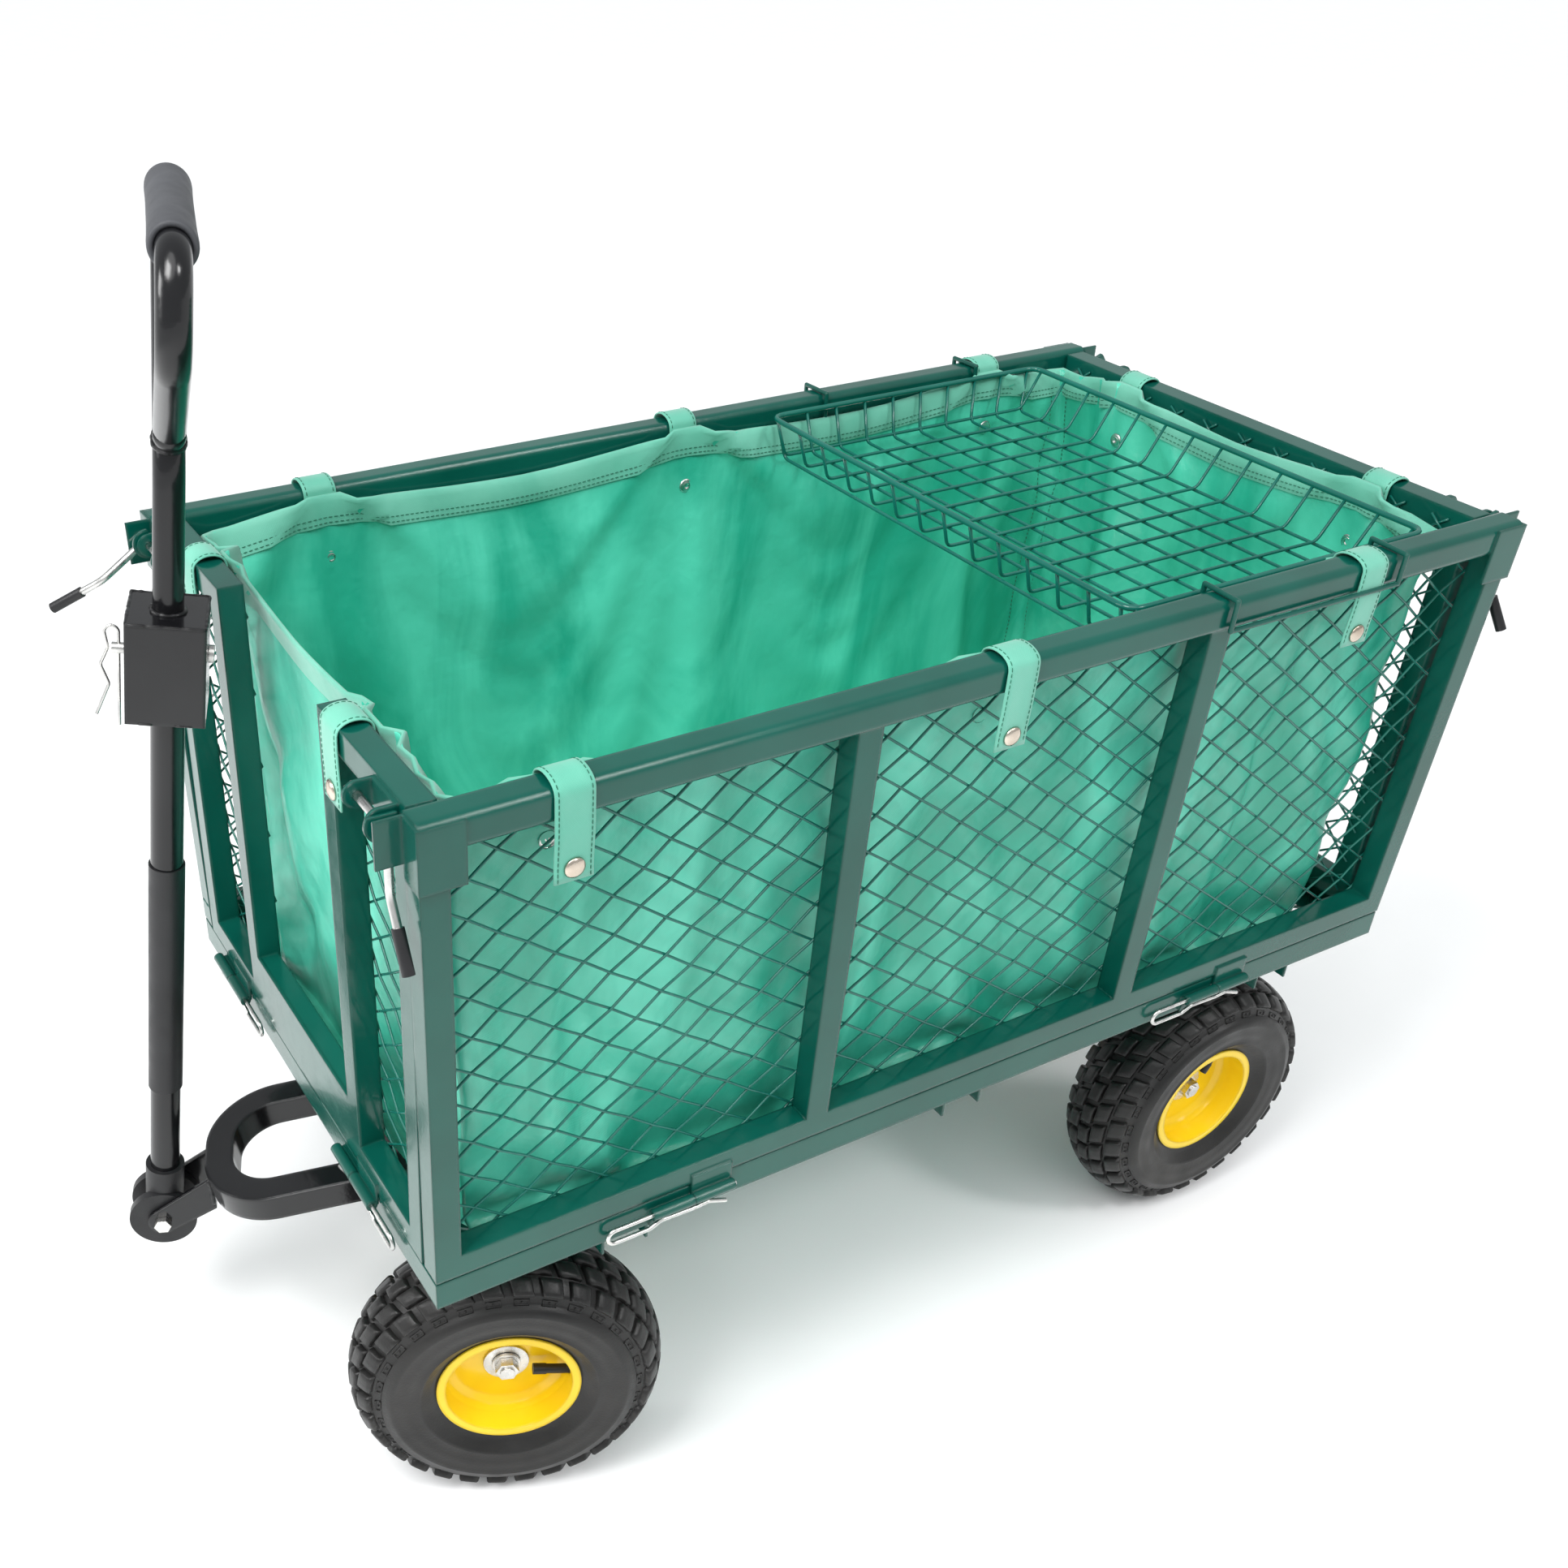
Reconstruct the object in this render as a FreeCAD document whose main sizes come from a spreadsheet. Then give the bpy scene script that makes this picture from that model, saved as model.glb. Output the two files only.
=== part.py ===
import FreeCAD, Part
import math
import os
import re
import Sketcher

os.makedirs("parts", exist_ok=True)
doc = FreeCAD.newDocument("garden_cart")
V = FreeCAD.Vector
X_AXIS = V(1, 0, 0)
Y_AXIS = V(0, 1, 0)
Z_AXIS = V(0, 0, 1)

# Driving dimensions in millimetres and degrees.  Frame: +X is the way the cart is pulled,
# +Y its left side, +Z up, z = 0 the ground, x = 0 the middle of the whole cart's length.
DIMENSIONS = {
    # placing
    "bed_shift": 49.2,          # how far the bed's centre stands behind the origin
    # tray
    "tray_len": 964,
    "tray_wid": 504,
    "tray_top": 343,
    "tray_deep": 24,
    "tray_wall": 2,
    "tray_lip": 25,
    "bearer_tall": 20,
    "bearer_wide": 40,
    # panels
    "axis_out": 6,              # hinge axis outside the tray's wall
    "axis_up": 334,
    "rail_out": 5.5,            # bottom rail's outer face inside the hinge axis
    "rail_gap": 11,             # bottom rail's underside above the hinge axis
    "post_bar": 20,
    "top_bar": 25,
    "top_bar_round": 6,
    "panel_tall": 400,          # hinge axis to the top of the side rails
    "end_tall": 398,
    "end_wide": 458,
    "end_top_wide": 476,
    "side_lean": 1.6,
    "end_lean": 0.7,
    "mid_post": 158,            # middle posts from the panel's centre
    "notch_post": 108,          # posts beside the front notch
    "notch_tall": 66,
    "plate": 2,
    "mesh_wire": 2.2,
    "mesh_cell_wide": 42,
    "mesh_cell_tall": 32,
    # hinges
    "knuckle_r": 4.5,
    "knuckle_bore_r": 1.85,
    "knuckle_len": 35.75,
    "knuckle_gap": 0.25,
    "pin_r": 1.75,
    "side_hinge": 272,
    "end_hinge": 139.5,
    "front_hinge_shift": 25.5,  # front hinges stand off centre, towards the right side
    # latches
    "latch_at": 209,
    "latch_out": 6.7,
    "latch_up": 385,
    "ear_half": 17.5,
    "ear_thick": 3,
    "ear_r": 9.5,
    "lever_r": 3,
    "lever_bore_r": 3.05,
    "lever_tip_r": 4.25,
    "cam_r": 11.8,
    # wheels
    "tyre_r": 130,
    "tyre_half": 43,
    "track_half": 184,
    "front_axle": 324,
    "rear_axle": -363,
    "rod_r": 6,
    "hub_bore_r": 6.05,
    "rim_flange_r": 59.5,
    "rim_bed_r": 54.2,
    "rim_half": 31.5,
    "steer": -21.3,
    # steering and drawbar
    "kingpin_r": 8,
    "kingpin_bore_r": 8.05,
    "mount_low": 264,
    "turret_top": 262,
    "turret_half": 47.5,
    "yoke_bar": 25,
    "yoke_nose": 234,
    "yoke_half": 60,
    "yoke_drop": 9.8,
    "bolt_along": 287,
    "bolt_up": 159,
    "bolt_r": 4,
    "bolt_bore_r": 4.05,
    "handle_back": 7.6,
    "flange_r": 29,
    "collar_r": 16.5,
    "pole_r": 12.5,
    "sleeve_r": 14,
    "sleeve_low": 142,
    "sleeve_high": 366,
    "box_half": 28,
    "box_low": 502,
    "box_high": 580,
    "pin_up": 548,
    "clip_r": 1.2,
    "grip_tube_r": 11,
    "grip_tube_in": 9.5,
    "grip_r": 15,
    "grip_half": 74,
    "loop_neck": 700,
    "loop_end": 716,
    "loop_low": 792,
    "loop_top": 846,
    "loop_half": 104,
    "loop_turn": 5,
    # liner and basket
    "liner_wall": 1.2,
    "liner_low": 326,
    "liner_high": 716,
    "foot_rear": -428,
    "foot_front": 445,
    "foot_half": 226,
    "brim_rear": -444,
    "brim_front": 446,
    "brim_half": 233.5,
    "strap_wide": 28,
    "strap_thick": 1.4,
    "basket_wire": 4,
    "basket_front": -95,
    "basket_rear": -410,
    "basket_half": 231,
    "basket_rim": 727,
    "basket_floor": 688,
}
dims = doc.addObject("Spreadsheet::Sheet", "dims")
for row, (alias, value) in enumerate(DIMENSIONS.items(), start=1):
    dims.set("A%d" % row, alias)
    dims.set("B%d" % row, str(value))
    dims.setAlias("B%d" % row, alias)
doc.recompute()
D = DIMENSIONS
WORD = re.compile(r"[a-z][a-z_]*[a-z]")


def bound(text):
    """Expression text with every dimension's name pointed at the sheet."""
    return WORD.sub(lambda m: "dims." + m.group(0) if m.group(0) in D else m.group(0), str(text))


def bind(obj, prop, text):
    obj.setExpression(prop, bound(text))


def place(obj, base=(0, 0, 0), turn=None):
    obj.Placement = FreeCAD.Placement(V(*base), turn or FreeCAD.Rotation())
    return obj


def block(name, size, at):
    """Box from three size expressions and three corner expressions."""
    obj = doc.addObject("Part::Box", name)
    for prop, text in zip(("Length", "Width", "Height"), size):
        bind(obj, prop, text)
    for axis, text in zip("xyz", at):
        bind(obj, "Placement.Base." + axis, text)
    return obj


TURNS = {
    "x": FreeCAD.Rotation(Y_AXIS, 90),
    "y": FreeCAD.Rotation(X_AXIS, -90),
    "z": FreeCAD.Rotation(),
}


def rod(name, radius, length, at, axis="z"):
    """Cylinder growing along +axis from its start point."""
    obj = doc.addObject("Part::Cylinder", name)
    obj.Placement = FreeCAD.Placement(V(0, 0, 0), TURNS[axis])
    bind(obj, "Radius", radius)
    bind(obj, "Height", length)
    for coordinate, text in zip("xyz", at):
        bind(obj, "Placement.Base." + coordinate, text)
    return obj


def hexagon(name, across_flats, length, at, axis="z"):
    obj = doc.addObject("Part::Prism", name)
    obj.Placement = FreeCAD.Placement(V(0, 0, 0), TURNS[axis])
    obj.Polygon = 6
    bind(obj, "Circumradius", "%g / (2 * cos(30))" % across_flats)
    bind(obj, "Height", length)
    for coordinate, text in zip("xyz", at):
        bind(obj, "Placement.Base." + coordinate, text)
    return obj


def fuse(name, items, refine=True):
    obj = doc.addObject("Part::MultiFuse", name)
    obj.Shapes = items
    obj.Refine = refine
    return obj


def group(name, items):
    obj = doc.addObject("Part::Compound", name)
    obj.Links = items
    return obj


def cut(name, base, tools):
    obj = doc.addObject("Part::Cut", name)
    obj.Base = base
    obj.Tool = tools[0] if len(tools) == 1 else fuse(name + "_tools", tools, False)
    obj.Refine = True
    return obj


def round_long_edges(name, base, radius, axis):
    """Fillet on the four edges of a box that run along one axis."""
    doc.recompute()
    fillet = doc.addObject("Part::Fillet", name)
    fillet.Base = base
    picked = []
    for number, edge in enumerate(base.Shape.Edges, start=1):
        along = edge.Vertexes[1].Point - edge.Vertexes[0].Point
        if abs(along.normalize().dot(axis)) > 0.99:
            picked.append((number, radius, radius))
    fillet.Edges = picked
    return fillet


def body(name):
    return doc.addObject("PartDesign::Body", name)


def sketch_on(owner, plane, name):
    """Sketch on one of the body's own origin planes."""
    sketch = owner.newObject("Sketcher::SketchObject", name)
    for feature in owner.Origin.OriginFeatures:
        if feature.Role == plane:
            sketch.AttachmentSupport = (feature, "")
    sketch.MapMode = "FlatFace"
    return sketch


def corner_arc(before, corner, after, radius):
    """Tangent points and centre of the arc that rounds one corner of a path."""
    first = (before - corner).normalize()
    second = (after - corner).normalize()
    half = first.getAngle(second) / 2
    reach = radius / math.tan(half)
    middle = (first + second).normalize() * (radius / math.sin(half))
    return corner + first * reach, corner + second * reach, corner + middle


def path_into(sketch, points, radii):
    """Straight runs joined by tangent arcs, as one open chain of sketch curves."""
    here = V(points[0][0], points[0][1], 0)
    corners = [V(p[0], p[1], 0) for p in points]
    for index in range(1, len(corners) - 1):
        radius = radii[index - 1]
        start, end, centre = corner_arc(corners[index - 1], corners[index], corners[index + 1], radius)
        if (start - here).Length > 1e-6:
            sketch.addGeometry(Part.LineSegment(here, start), False)
        swing = (start - centre).cross(end - centre).z
        turn = [math.atan2(p.y - centre.y, p.x - centre.x) for p in (start, end)]
        if swing < 0:
            turn.reverse()
        sketch.addGeometry(Part.ArcOfCircle(Part.Circle(centre, Z_AXIS, radius), *turn), False)
        here = end
    sketch.addGeometry(Part.LineSegment(here, corners[-1]), False)


def bent_bar(name, plane, points, radii, radius=None, inner=None, side=None):
    """Round or square bar swept along a planar path, hollow where an inner radius is given."""
    owner = body(name)
    path = sketch_on(owner, plane, name + "_path")
    path_into(path, points, radii)
    doc.recompute()
    for number, size in enumerate([radius or side, inner]):
        if size is None:
            continue
        profile = owner.newObject("Sketcher::SketchObject", "%s_section%d" % (name, number))
        profile.AttachmentSupport = (path, "Edge1")
        profile.MapMode = "NormalToEdge"
        profile.MapPathParameter = 0
        if side:
            square_into(profile, size)
        else:
            profile.addGeometry(Part.Circle(V(0, 0, 0), Z_AXIS, D[size]), False)
            profile.addConstraint(Sketcher.Constraint("Coincident", 0, 3, -1, 1))
            profile.addConstraint(Sketcher.Constraint("Radius", 0, 1.0))
            profile.renameConstraint(1, "size")
            bind(profile, "Constraints.size", size)
        kind = "PartDesign::AdditivePipe" if number == 0 else "PartDesign::SubtractivePipe"
        pipe = owner.newObject(kind, "%s_sweep%d" % (name, number))
        pipe.Profile = profile
        pipe.Spine = (path, [])
        doc.recompute()
    return owner


def square_into(sketch, side):
    """Square centred on the sketch's origin."""
    half = D[side] / 2
    corners = [V(-half, -half, 0), V(half, -half, 0), V(half, half, 0), V(-half, half, 0)]
    for index in range(4):
        sketch.addGeometry(Part.LineSegment(corners[index], corners[(index + 1) % 4]), False)
    for index in range(4):
        sketch.addConstraint(Sketcher.Constraint("Coincident", index, 2, (index + 1) % 4, 1))
    for index, kind in enumerate(("Horizontal", "Vertical", "Horizontal", "Vertical")):
        sketch.addConstraint(Sketcher.Constraint(kind, index))
    sketch.addConstraint(Sketcher.Constraint("Symmetric", 0, 1, 2, 1, -1, 1))
    for kind, index in (("DistanceX", 0), ("DistanceY", 1)):
        number = sketch.addConstraint(Sketcher.Constraint(kind, index, 1, index, 2, D[side]))
        sketch.renameConstraint(number, kind.lower())
        bind(sketch, "Constraints." + kind.lower(), side)


def turned(name, outline):
    """Body of revolution about Y from (radius, along) points; a point may carry an arc's middle."""
    owner = body(name)
    sketch = sketch_on(owner, "XY_Plane", name + "_profile")
    points = [V(p[0], p[1], 0) for p in outline]
    for index, item in enumerate(outline):
        end = points[(index + 1) % len(points)]
        if len(item) == 4:
            arc = Part.Arc(points[index], V(item[2], item[3], 0), end)
            sketch.addGeometry(arc, False)
        else:
            sketch.addGeometry(Part.LineSegment(points[index], end), False)
    revolve(owner, sketch, name)
    return owner


def revolve(owner, sketch, name):
    doc.recompute()
    feature = owner.newObject("PartDesign::Revolution", name + "_turned")
    feature.Profile = sketch
    feature.ReferenceAxis = (sketch, ["V_Axis"])
    feature.Angle = 360
    doc.recompute()


# ---------------------------------------------------------------- frames of the moving groups
BED_X = -D["bed_shift"]
STEER = FreeCAD.Rotation(Z_AXIS, D["steer"])
KINGPIN = V(BED_X + D["front_axle"], 0, 0)
BOLT = KINGPIN + STEER.multVec(V(D["bolt_along"], 0, D["bolt_up"]))
HANDLE = STEER.multiply(FreeCAD.Rotation(Y_AXIS, -D["handle_back"]))
AXIS_Y = D["tray_wid"] / 2 + D["axis_out"]
AXIS_X = D["tray_len"] / 2 + D["axis_out"]
# name: (hinge axis centre, turn about Z, lean about the hinge)
PANELS = {
    "left": (V(BED_X, AXIS_Y, D["axis_up"]), 0, -D["side_lean"]),
    "right": (V(BED_X, -AXIS_Y, D["axis_up"]), 180, -D["side_lean"]),
    "front": (V(BED_X + AXIS_X, 0, D["axis_up"]), -90, D["end_lean"]),
    "rear": (V(BED_X - AXIS_X, 0, D["axis_up"]), 90, D["end_lean"]),
}
# hinge centres along each panel's own x, as expressions
HINGES = {
    "left": ("side_hinge", "-side_hinge"),
    "right": ("side_hinge", "-side_hinge"),
    "front": ("end_hinge + front_hinge_shift", "-end_hinge + front_hinge_shift"),
    "rear": ("end_hinge", "-end_hinge"),
}
nodes = []


def keep(obj, label, base=(0, 0, 0), turn=None):
    """Name a finished sub-part and set it in place in the cart."""
    obj.Label = label
    place(obj, base, turn)
    nodes.append(obj)
    return obj


def keep_on_panel(obj, label, panel):
    base, turn, lean = PANELS[panel]
    keep(obj, label, base, FreeCAD.Rotation(Z_AXIS, turn).multiply(FreeCAD.Rotation(X_AXIS, lean)))


# ---------------------------------------------------------------- wire mesh
def clip(polygon, axis, limit, sign):
    """Part of a convex polygon on one side of a line x or y = limit."""
    result = []
    for index, point in enumerate(polygon):
        ahead = polygon[(index + 1) % len(polygon)]
        here_in = sign * (point[axis] - limit) <= 0
        ahead_in = sign * (ahead[axis] - limit) <= 0
        if here_in:
            result.append(point)
        if here_in != ahead_in:
            share = (limit - point[axis]) / (ahead[axis] - point[axis])
            result.append(tuple(point[k] + share * (ahead[k] - point[k]) for k in (0, 1)))
    return result


def without_short_edges(polygon, shortest=0.4):
    """The polygon with points closer than the shortest edge to their neighbour left out."""
    return [p for p, q in zip(polygon, polygon[1:] + polygon[:1]) if math.dist(p, q) > shortest]


def area(polygon):
    pairs = zip(polygon, polygon[1:] + polygon[:1])
    return abs(sum(a[0] * b[1] - b[0] * a[1] for a, b in pairs)) / 2


def diamond_sheet(wide, tall, cell_wide, cell_tall, wire):
    """Flat sheet of diamond mesh from (0, 0) to (wide, tall), one wire thick."""
    slope = math.atan2(cell_tall, cell_wide)
    half_x = cell_wide / 2 - wire / (2 * math.sin(slope))
    half_y = cell_tall / 2 - wire / (2 * math.cos(slope))
    outer = Part.makePolygon([V(0, 0, 0), V(wide, 0, 0), V(wide, tall, 0), V(0, tall, 0), V(0, 0, 0)])
    wires = [outer]
    edge = wire
    smallest = 12.0
    for i in range(-1, 2 * int(wide / cell_wide) + 4):
        for j in range(-1, 2 * int(tall / cell_tall) + 4):
            if (i + j) % 2:
                continue
            cx, cy = i * cell_wide / 2, j * cell_tall / 2
            hole = [(cx - half_x, cy), (cx, cy - half_y), (cx + half_x, cy), (cx, cy + half_y)]
            for axis, limit, sign in ((0, edge, -1), (0, wide - edge, 1), (1, edge, -1), (1, tall - edge, 1)):
                if hole:
                    hole = clip(hole, axis, limit, sign)
            hole = without_short_edges(hole)
            if len(hole) > 2 and area(hole) > smallest:
                wires.append(Part.makePolygon([V(x, y, 0) for x, y in hole + hole[:1]]))
    return Part.makeFace(wires, "Part::FaceMakerCheese").extrude(V(0, 0, wire))


UPRIGHT = FreeCAD.Rotation(X_AXIS, 90)
cut_sheets = {}


def stock_sheet(wide, tall):
    """Mesh sheet of the cart's own cell and wire; equal sizes share one cut."""
    if (wide, tall) not in cut_sheets:
        cut_sheets[wide, tall] = diamond_sheet(wide, tall, D["mesh_cell_wide"], D["mesh_cell_tall"],
                                               D["mesh_wire"])
    return cut_sheets[wide, tall].copy()



def mesh_feature(name, patches):
    """Upright mesh patches, each (x, z, wide, tall), with the outer face on local y = back."""
    back = -(D["rail_out"] + D["post_bar"] + 0.05)
    sheets = []
    for x, z, wide, tall in patches:
        sheet = stock_sheet(wide, tall)
        sheet.Placement = FreeCAD.Placement(V(x, back, z), UPRIGHT)
        sheets.append(sheet)
    obj = doc.addObject("Part::Feature", name)
    obj.Shape = Part.makeCompound(sheets)
    return obj


# ---------------------------------------------------------------- tray and floor
def tray():
    shell = block("tray_block", ("tray_len", "tray_wid", "tray_deep"),
                  ("-tray_len / 2", "-tray_wid / 2", "tray_top - tray_deep"))
    inside = block("tray_inside", ("tray_len - 2 * tray_wall", "tray_wid - 2 * tray_wall", "tray_deep"),
                   ("tray_wall - tray_len / 2", "tray_wall - tray_wid / 2",
                    "tray_top - tray_deep + tray_wall"))
    opening = block("tray_opening", ("tray_len - 2 * tray_lip", "tray_wid - 2 * tray_lip", "2 * tray_deep"),
                    ("tray_lip - tray_len / 2", "tray_lip - tray_wid / 2", "tray_top - 1.5 * tray_deep"))
    pieces = [cut("tray_shell", shell, [inside, opening])]
    bores = []
    for panel, (base, turn, _) in PANELS.items():
        for number, centre in enumerate(HINGES[panel]):
            start = centre + " + knuckle_gap"
            knuckle = rod("tray_%s_knuckle%d" % (panel, number), "knuckle_r", "knuckle_len",
                          (start, "0", "0"), "x")
            leaf = block("tray_%s_leaf%d" % (panel, number),
                         ("knuckle_len", "axis_out - 3.5", "knuckle_len * 0.4"),
                         (start, "-axis_out", "-knuckle_len * 0.4"))
            bore = rod("tray_%s_bore%d" % (panel, number), "knuckle_bore_r", "knuckle_len + 2",
                       (start + " - 1", "0", "0"), "x")
            welded = fuse("tray_%s_hinge%d" % (panel, number), [knuckle, leaf])
            spin = FreeCAD.Rotation(Z_AXIS, turn)
            here = (base.x - BED_X, base.y, base.z)
            pieces.append(place(welded, here, spin))
            bores.append(place(group("tray_%s_hole%d" % (panel, number), [bore]), here, spin))
    keep(cut("bed_tray", fuse("tray_welded", pieces), bores), "bed_tray", (BED_X, 0, 0))


def floor():
    inset = D["tray_wall"] + 0.5
    wide = D["tray_len"] - 2 * inset
    tall = D["tray_wid"] - 2 * inset
    obj = doc.addObject("Part::Feature", "bed_floor_mesh")
    sheet = stock_sheet(wide, tall)
    sheet.Placement = FreeCAD.Placement(V(-wide / 2, -tall / 2, 0), FreeCAD.Rotation())
    obj.Shape = Part.makeCompound([sheet])
    keep(obj, "bed_floor_mesh", (BED_X, 0, D["tray_top"] - D["tray_deep"] + D["tray_wall"] + 0.02))


def cross_members():
    """Three channels open downwards under the floor, at both axles and in the middle."""
    under = "tray_top - tray_deep - bearer_tall - 0.05"
    wall = "tray_wall"
    items = []
    for number, centre in enumerate(("front_axle", "0", "rear_axle")):
        outside = block("bearer%d_out" % number, ("bearer_wide", "tray_wid - 12", "bearer_tall"),
                        (centre + " - bearer_wide / 2", "6 - tray_wid / 2", under))
        hollow = block("bearer%d_in" % number, ("bearer_wide - 2 * tray_wall", "tray_wid - 8",
                                                "bearer_tall - tray_wall"),
                       (centre + " - bearer_wide / 2 + " + wall, "4 - tray_wid / 2", under))
        items.append(cut("bearer%d" % number, outside, [hollow]))
    items.append(steering_mount())
    keep(group("bearer_set", items), "bed_cross_members", (BED_X, 0, 0))


BEARER_LOW = "(tray_top - tray_deep - bearer_tall - 0.1)"


def steering_mount():
    """Folded pedestal under the front bearer that carries the kingpin."""
    height = BEARER_LOW + " - mount_low"
    outside = block("mount_out", ("110", "90", height), ("-55", "-45", "mount_low"))
    hollow = block("mount_in", ("112", "82", height + " - 8"), ("-56", "-41", "mount_low + 4"))
    hole = rod("mount_hole", "kingpin_bore_r", "20", ("0", "0", "mount_low - 8"))
    return place(cut("steering_mount", outside, [hollow, hole]), (D["front_axle"], 0, 0))


def kingpin():
    shank = rod("kingpin_shank", "kingpin_r", "30", ("0", "0", "mount_low + 4 - 29"))
    head = hexagon("kingpin_head", 24, "9", ("0", "0", "mount_low + 4.1"))
    nut = hexagon("kingpin_nut_block", 24, "10", ("0", "0", "turret_top - 4 - 11"))
    hole = rod("kingpin_nut_hole", "kingpin_bore_r", "14", ("0", "0", "turret_top - 4 - 13"))
    bolt = fuse("kingpin_solid", [shank, head])
    washer = rod("ring_disc", "44", "mount_low - turret_top - 0.1", ("0", "0", "turret_top + 0.05"))
    washer_hole = rod("ring_hole", "kingpin_bore_r", "20", ("0", "0", "turret_top - 4"))
    items = [bolt, cut("kingpin_nut", nut, [hole]), cut("turntable_washer", washer, [washer_hole])]
    keep(group("kingpin_stack", items), "kingpin_bolt", (BED_X + D["front_axle"], 0, 0))


def rear_axle():
    """Two folded legs and the cross tube, welded into one bracket, with the rod through it."""
    pieces = []
    for sign in (1, -1):
        at_y = "%d * 110 - 2" % sign
        pieces.append(block("rear_leg%+d" % sign, ("60", "4", BEARER_LOW + " - 112"), ("-30", at_y, "112")))
        pieces.append(block("rear_foot%+d" % sign, ("60", "40", "4"),
                            ("-30", "%d * 110 - 20" % sign, BEARER_LOW + " - 4")))
    pieces.append(block("rear_tube", ("30", "264", "30"), ("-15", "-132", "115")))
    hole = rod("rear_tube_hole", "hub_bore_r", "300", ("0", "-150", "tyre_r"), "y")
    base = (BED_X + D["rear_axle"], 0, 0)
    keep(cut("rear_axle_brackets", fuse("rear_bracket_weld", pieces), [hole]), "rear_axle_brackets", base)


def axle_rod(label, base, turn):
    bar = rod(label + "_bar", "rod_r", "402", ("0", "-201", "tyre_r"), "y")
    keep(group(label + "_set", [bar]), label, base, turn)


def axle_nuts(label, base, turn):
    items = []
    for sign in (1, -1):
        start = "191.4" if sign > 0 else "-199.4"
        washer = "189.2" if sign > 0 else "-191.2"
        nut = hexagon("%s_nut%+d" % (label, sign), 17, "8", ("0", start, "tyre_r"), "y")
        disc = rod("%s_washer%+d" % (label, sign), "12", "2", ("0", washer, "tyre_r"), "y")
        for part, bore_start, tag in ((nut, start, "nut"), (disc, washer, "washer")):
            bore = rod("%s_%s_bore%+d" % (label, tag, sign), "hub_bore_r", "12",
                       ("0", bore_start + " - 2", "tyre_r"), "y")
            items.append(cut("%s_%s%+d_cut" % (label, tag, sign), part, [bore]))
    keep(group(label + "_set", items), label, base, turn)


# ---------------------------------------------------------------- wheels
def wheel(name, base, turn, valve_angle):
    spin = FreeCAD.Rotation(Z_AXIS, turn).multiply(FreeCAD.Rotation(Y_AXIS, valve_angle))
    tyre_r, half = D["tyre_r"], D["tyre_half"]
    bead = D["rim_bed_r"] + 0.3
    outer = [
        (bead, 21.5), (bead, 28.8), (61, 29.2, 88, half), (116, 36.5, tyre_r, 0), (116, -36.5, 88, -half),
        (61, -29.2), (bead, -28.8), (bead, -21.5), (62, -22.5, 90, -35.5), (112, -30, 122.5, 0),
        (112, 30, 90, 35.5), (62, 22.5),
    ]
    tyre = turned(name + "_tyre", outer)
    keep(tyre, name + "_tyre", base, spin)
    # air tube, two concentric ellipses turned about the axle, with its valve stem and cap
    tube = body(name + "_air")
    sketch = sketch_on(tube, "XY_Plane", name + "_air_profile")
    centre = V(88.7, 0, 0)
    for grow in (0, -2):
        ring = Part.Ellipse(centre + V(0, 34 + grow, 0), centre + V(32.5 + grow, 0, 0), centre)
        sketch.addGeometry(ring, False)
    revolve(tube, sketch, name + "_air")
    stem = rod(name + "_stem", "4", "25.5", ("-57.5", "12", "0"), "x")
    cap = rod(name + "_cap", "4.6", "11", ("-32.5", "12", "0"), "x")
    keep(fuse(name + "_tube_weld", [tube, stem, cap], False), name + "_inner_tube", base, spin)
    # rim of two pressed halves
    bed, lip = D["rim_bed_r"], D["rim_half"]
    halves = []
    for sign in (1, -1):
        outline = [
            (17.2, 0.1), (bed, 0.1), (bed, lip - 2), (D["rim_flange_r"], lip - 2), (D["rim_flange_r"], lip),
            (bed - 2, lip), (bed - 2, 12), (bed - 4, 6), (bed - 10, 2.1), (17.2, 2.1),
        ]
        half_body = turned("%s_rim%+d" % (name, sign), [(r, sign * y) for r, y in outline])
        hole = rod("%s_rim_hole%+d" % (name, sign), "4.4", "20", ("-62", "12", "0"), "x")
        halves.append(cut("%s_rim_half%+d" % (name, sign), half_body, [hole]))
    keep(group(name + "_rim_pair", halves), name + "_rim", base, spin)
    # hub tube with a face flange and a rear flange
    bore = D["hub_bore_r"]
    hub = turned(name + "_hub_body", [
        (bore, -44), (17, -44), (17, -4.6), (19, -4.6), (19, -2.3), (17, -2.3), (17, 2.3), (19, 2.3),
        (19, 4.6), (bore, 4.6),
    ])
    keep(hub, name + "_hub", base, spin)


# ---------------------------------------------------------------- front axle, yoke and its clevis
def front_axle():
    top = block("turret_top_plate", ("90", "2 * turret_half", "4"),
                ("-45", "-turret_half", "turret_top - 4"))
    pieces = [top]
    for sign in (1, -1):
        start = "turret_half - 4" if sign > 0 else "-turret_half"
        pieces.append(block("turret_side%+d" % sign, ("70", "4", "turret_top - 112"),
                            ("-35", start, "112")))
    pieces.append(block("axle_tube", ("30", "264", "30"), ("-15", "-132", "115")))
    holes = [
        rod("axle_tube_hole", "hub_bore_r", "300", ("0", "-150", "tyre_r"), "y"),
        rod("turret_hole", "kingpin_bore_r", "20", ("0", "0", "turret_top - 12")),
    ]
    keep(cut("front_axle_beam", fuse("turret_weld", pieces), holes), "front_axle_beam", KINGPIN, STEER)


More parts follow.
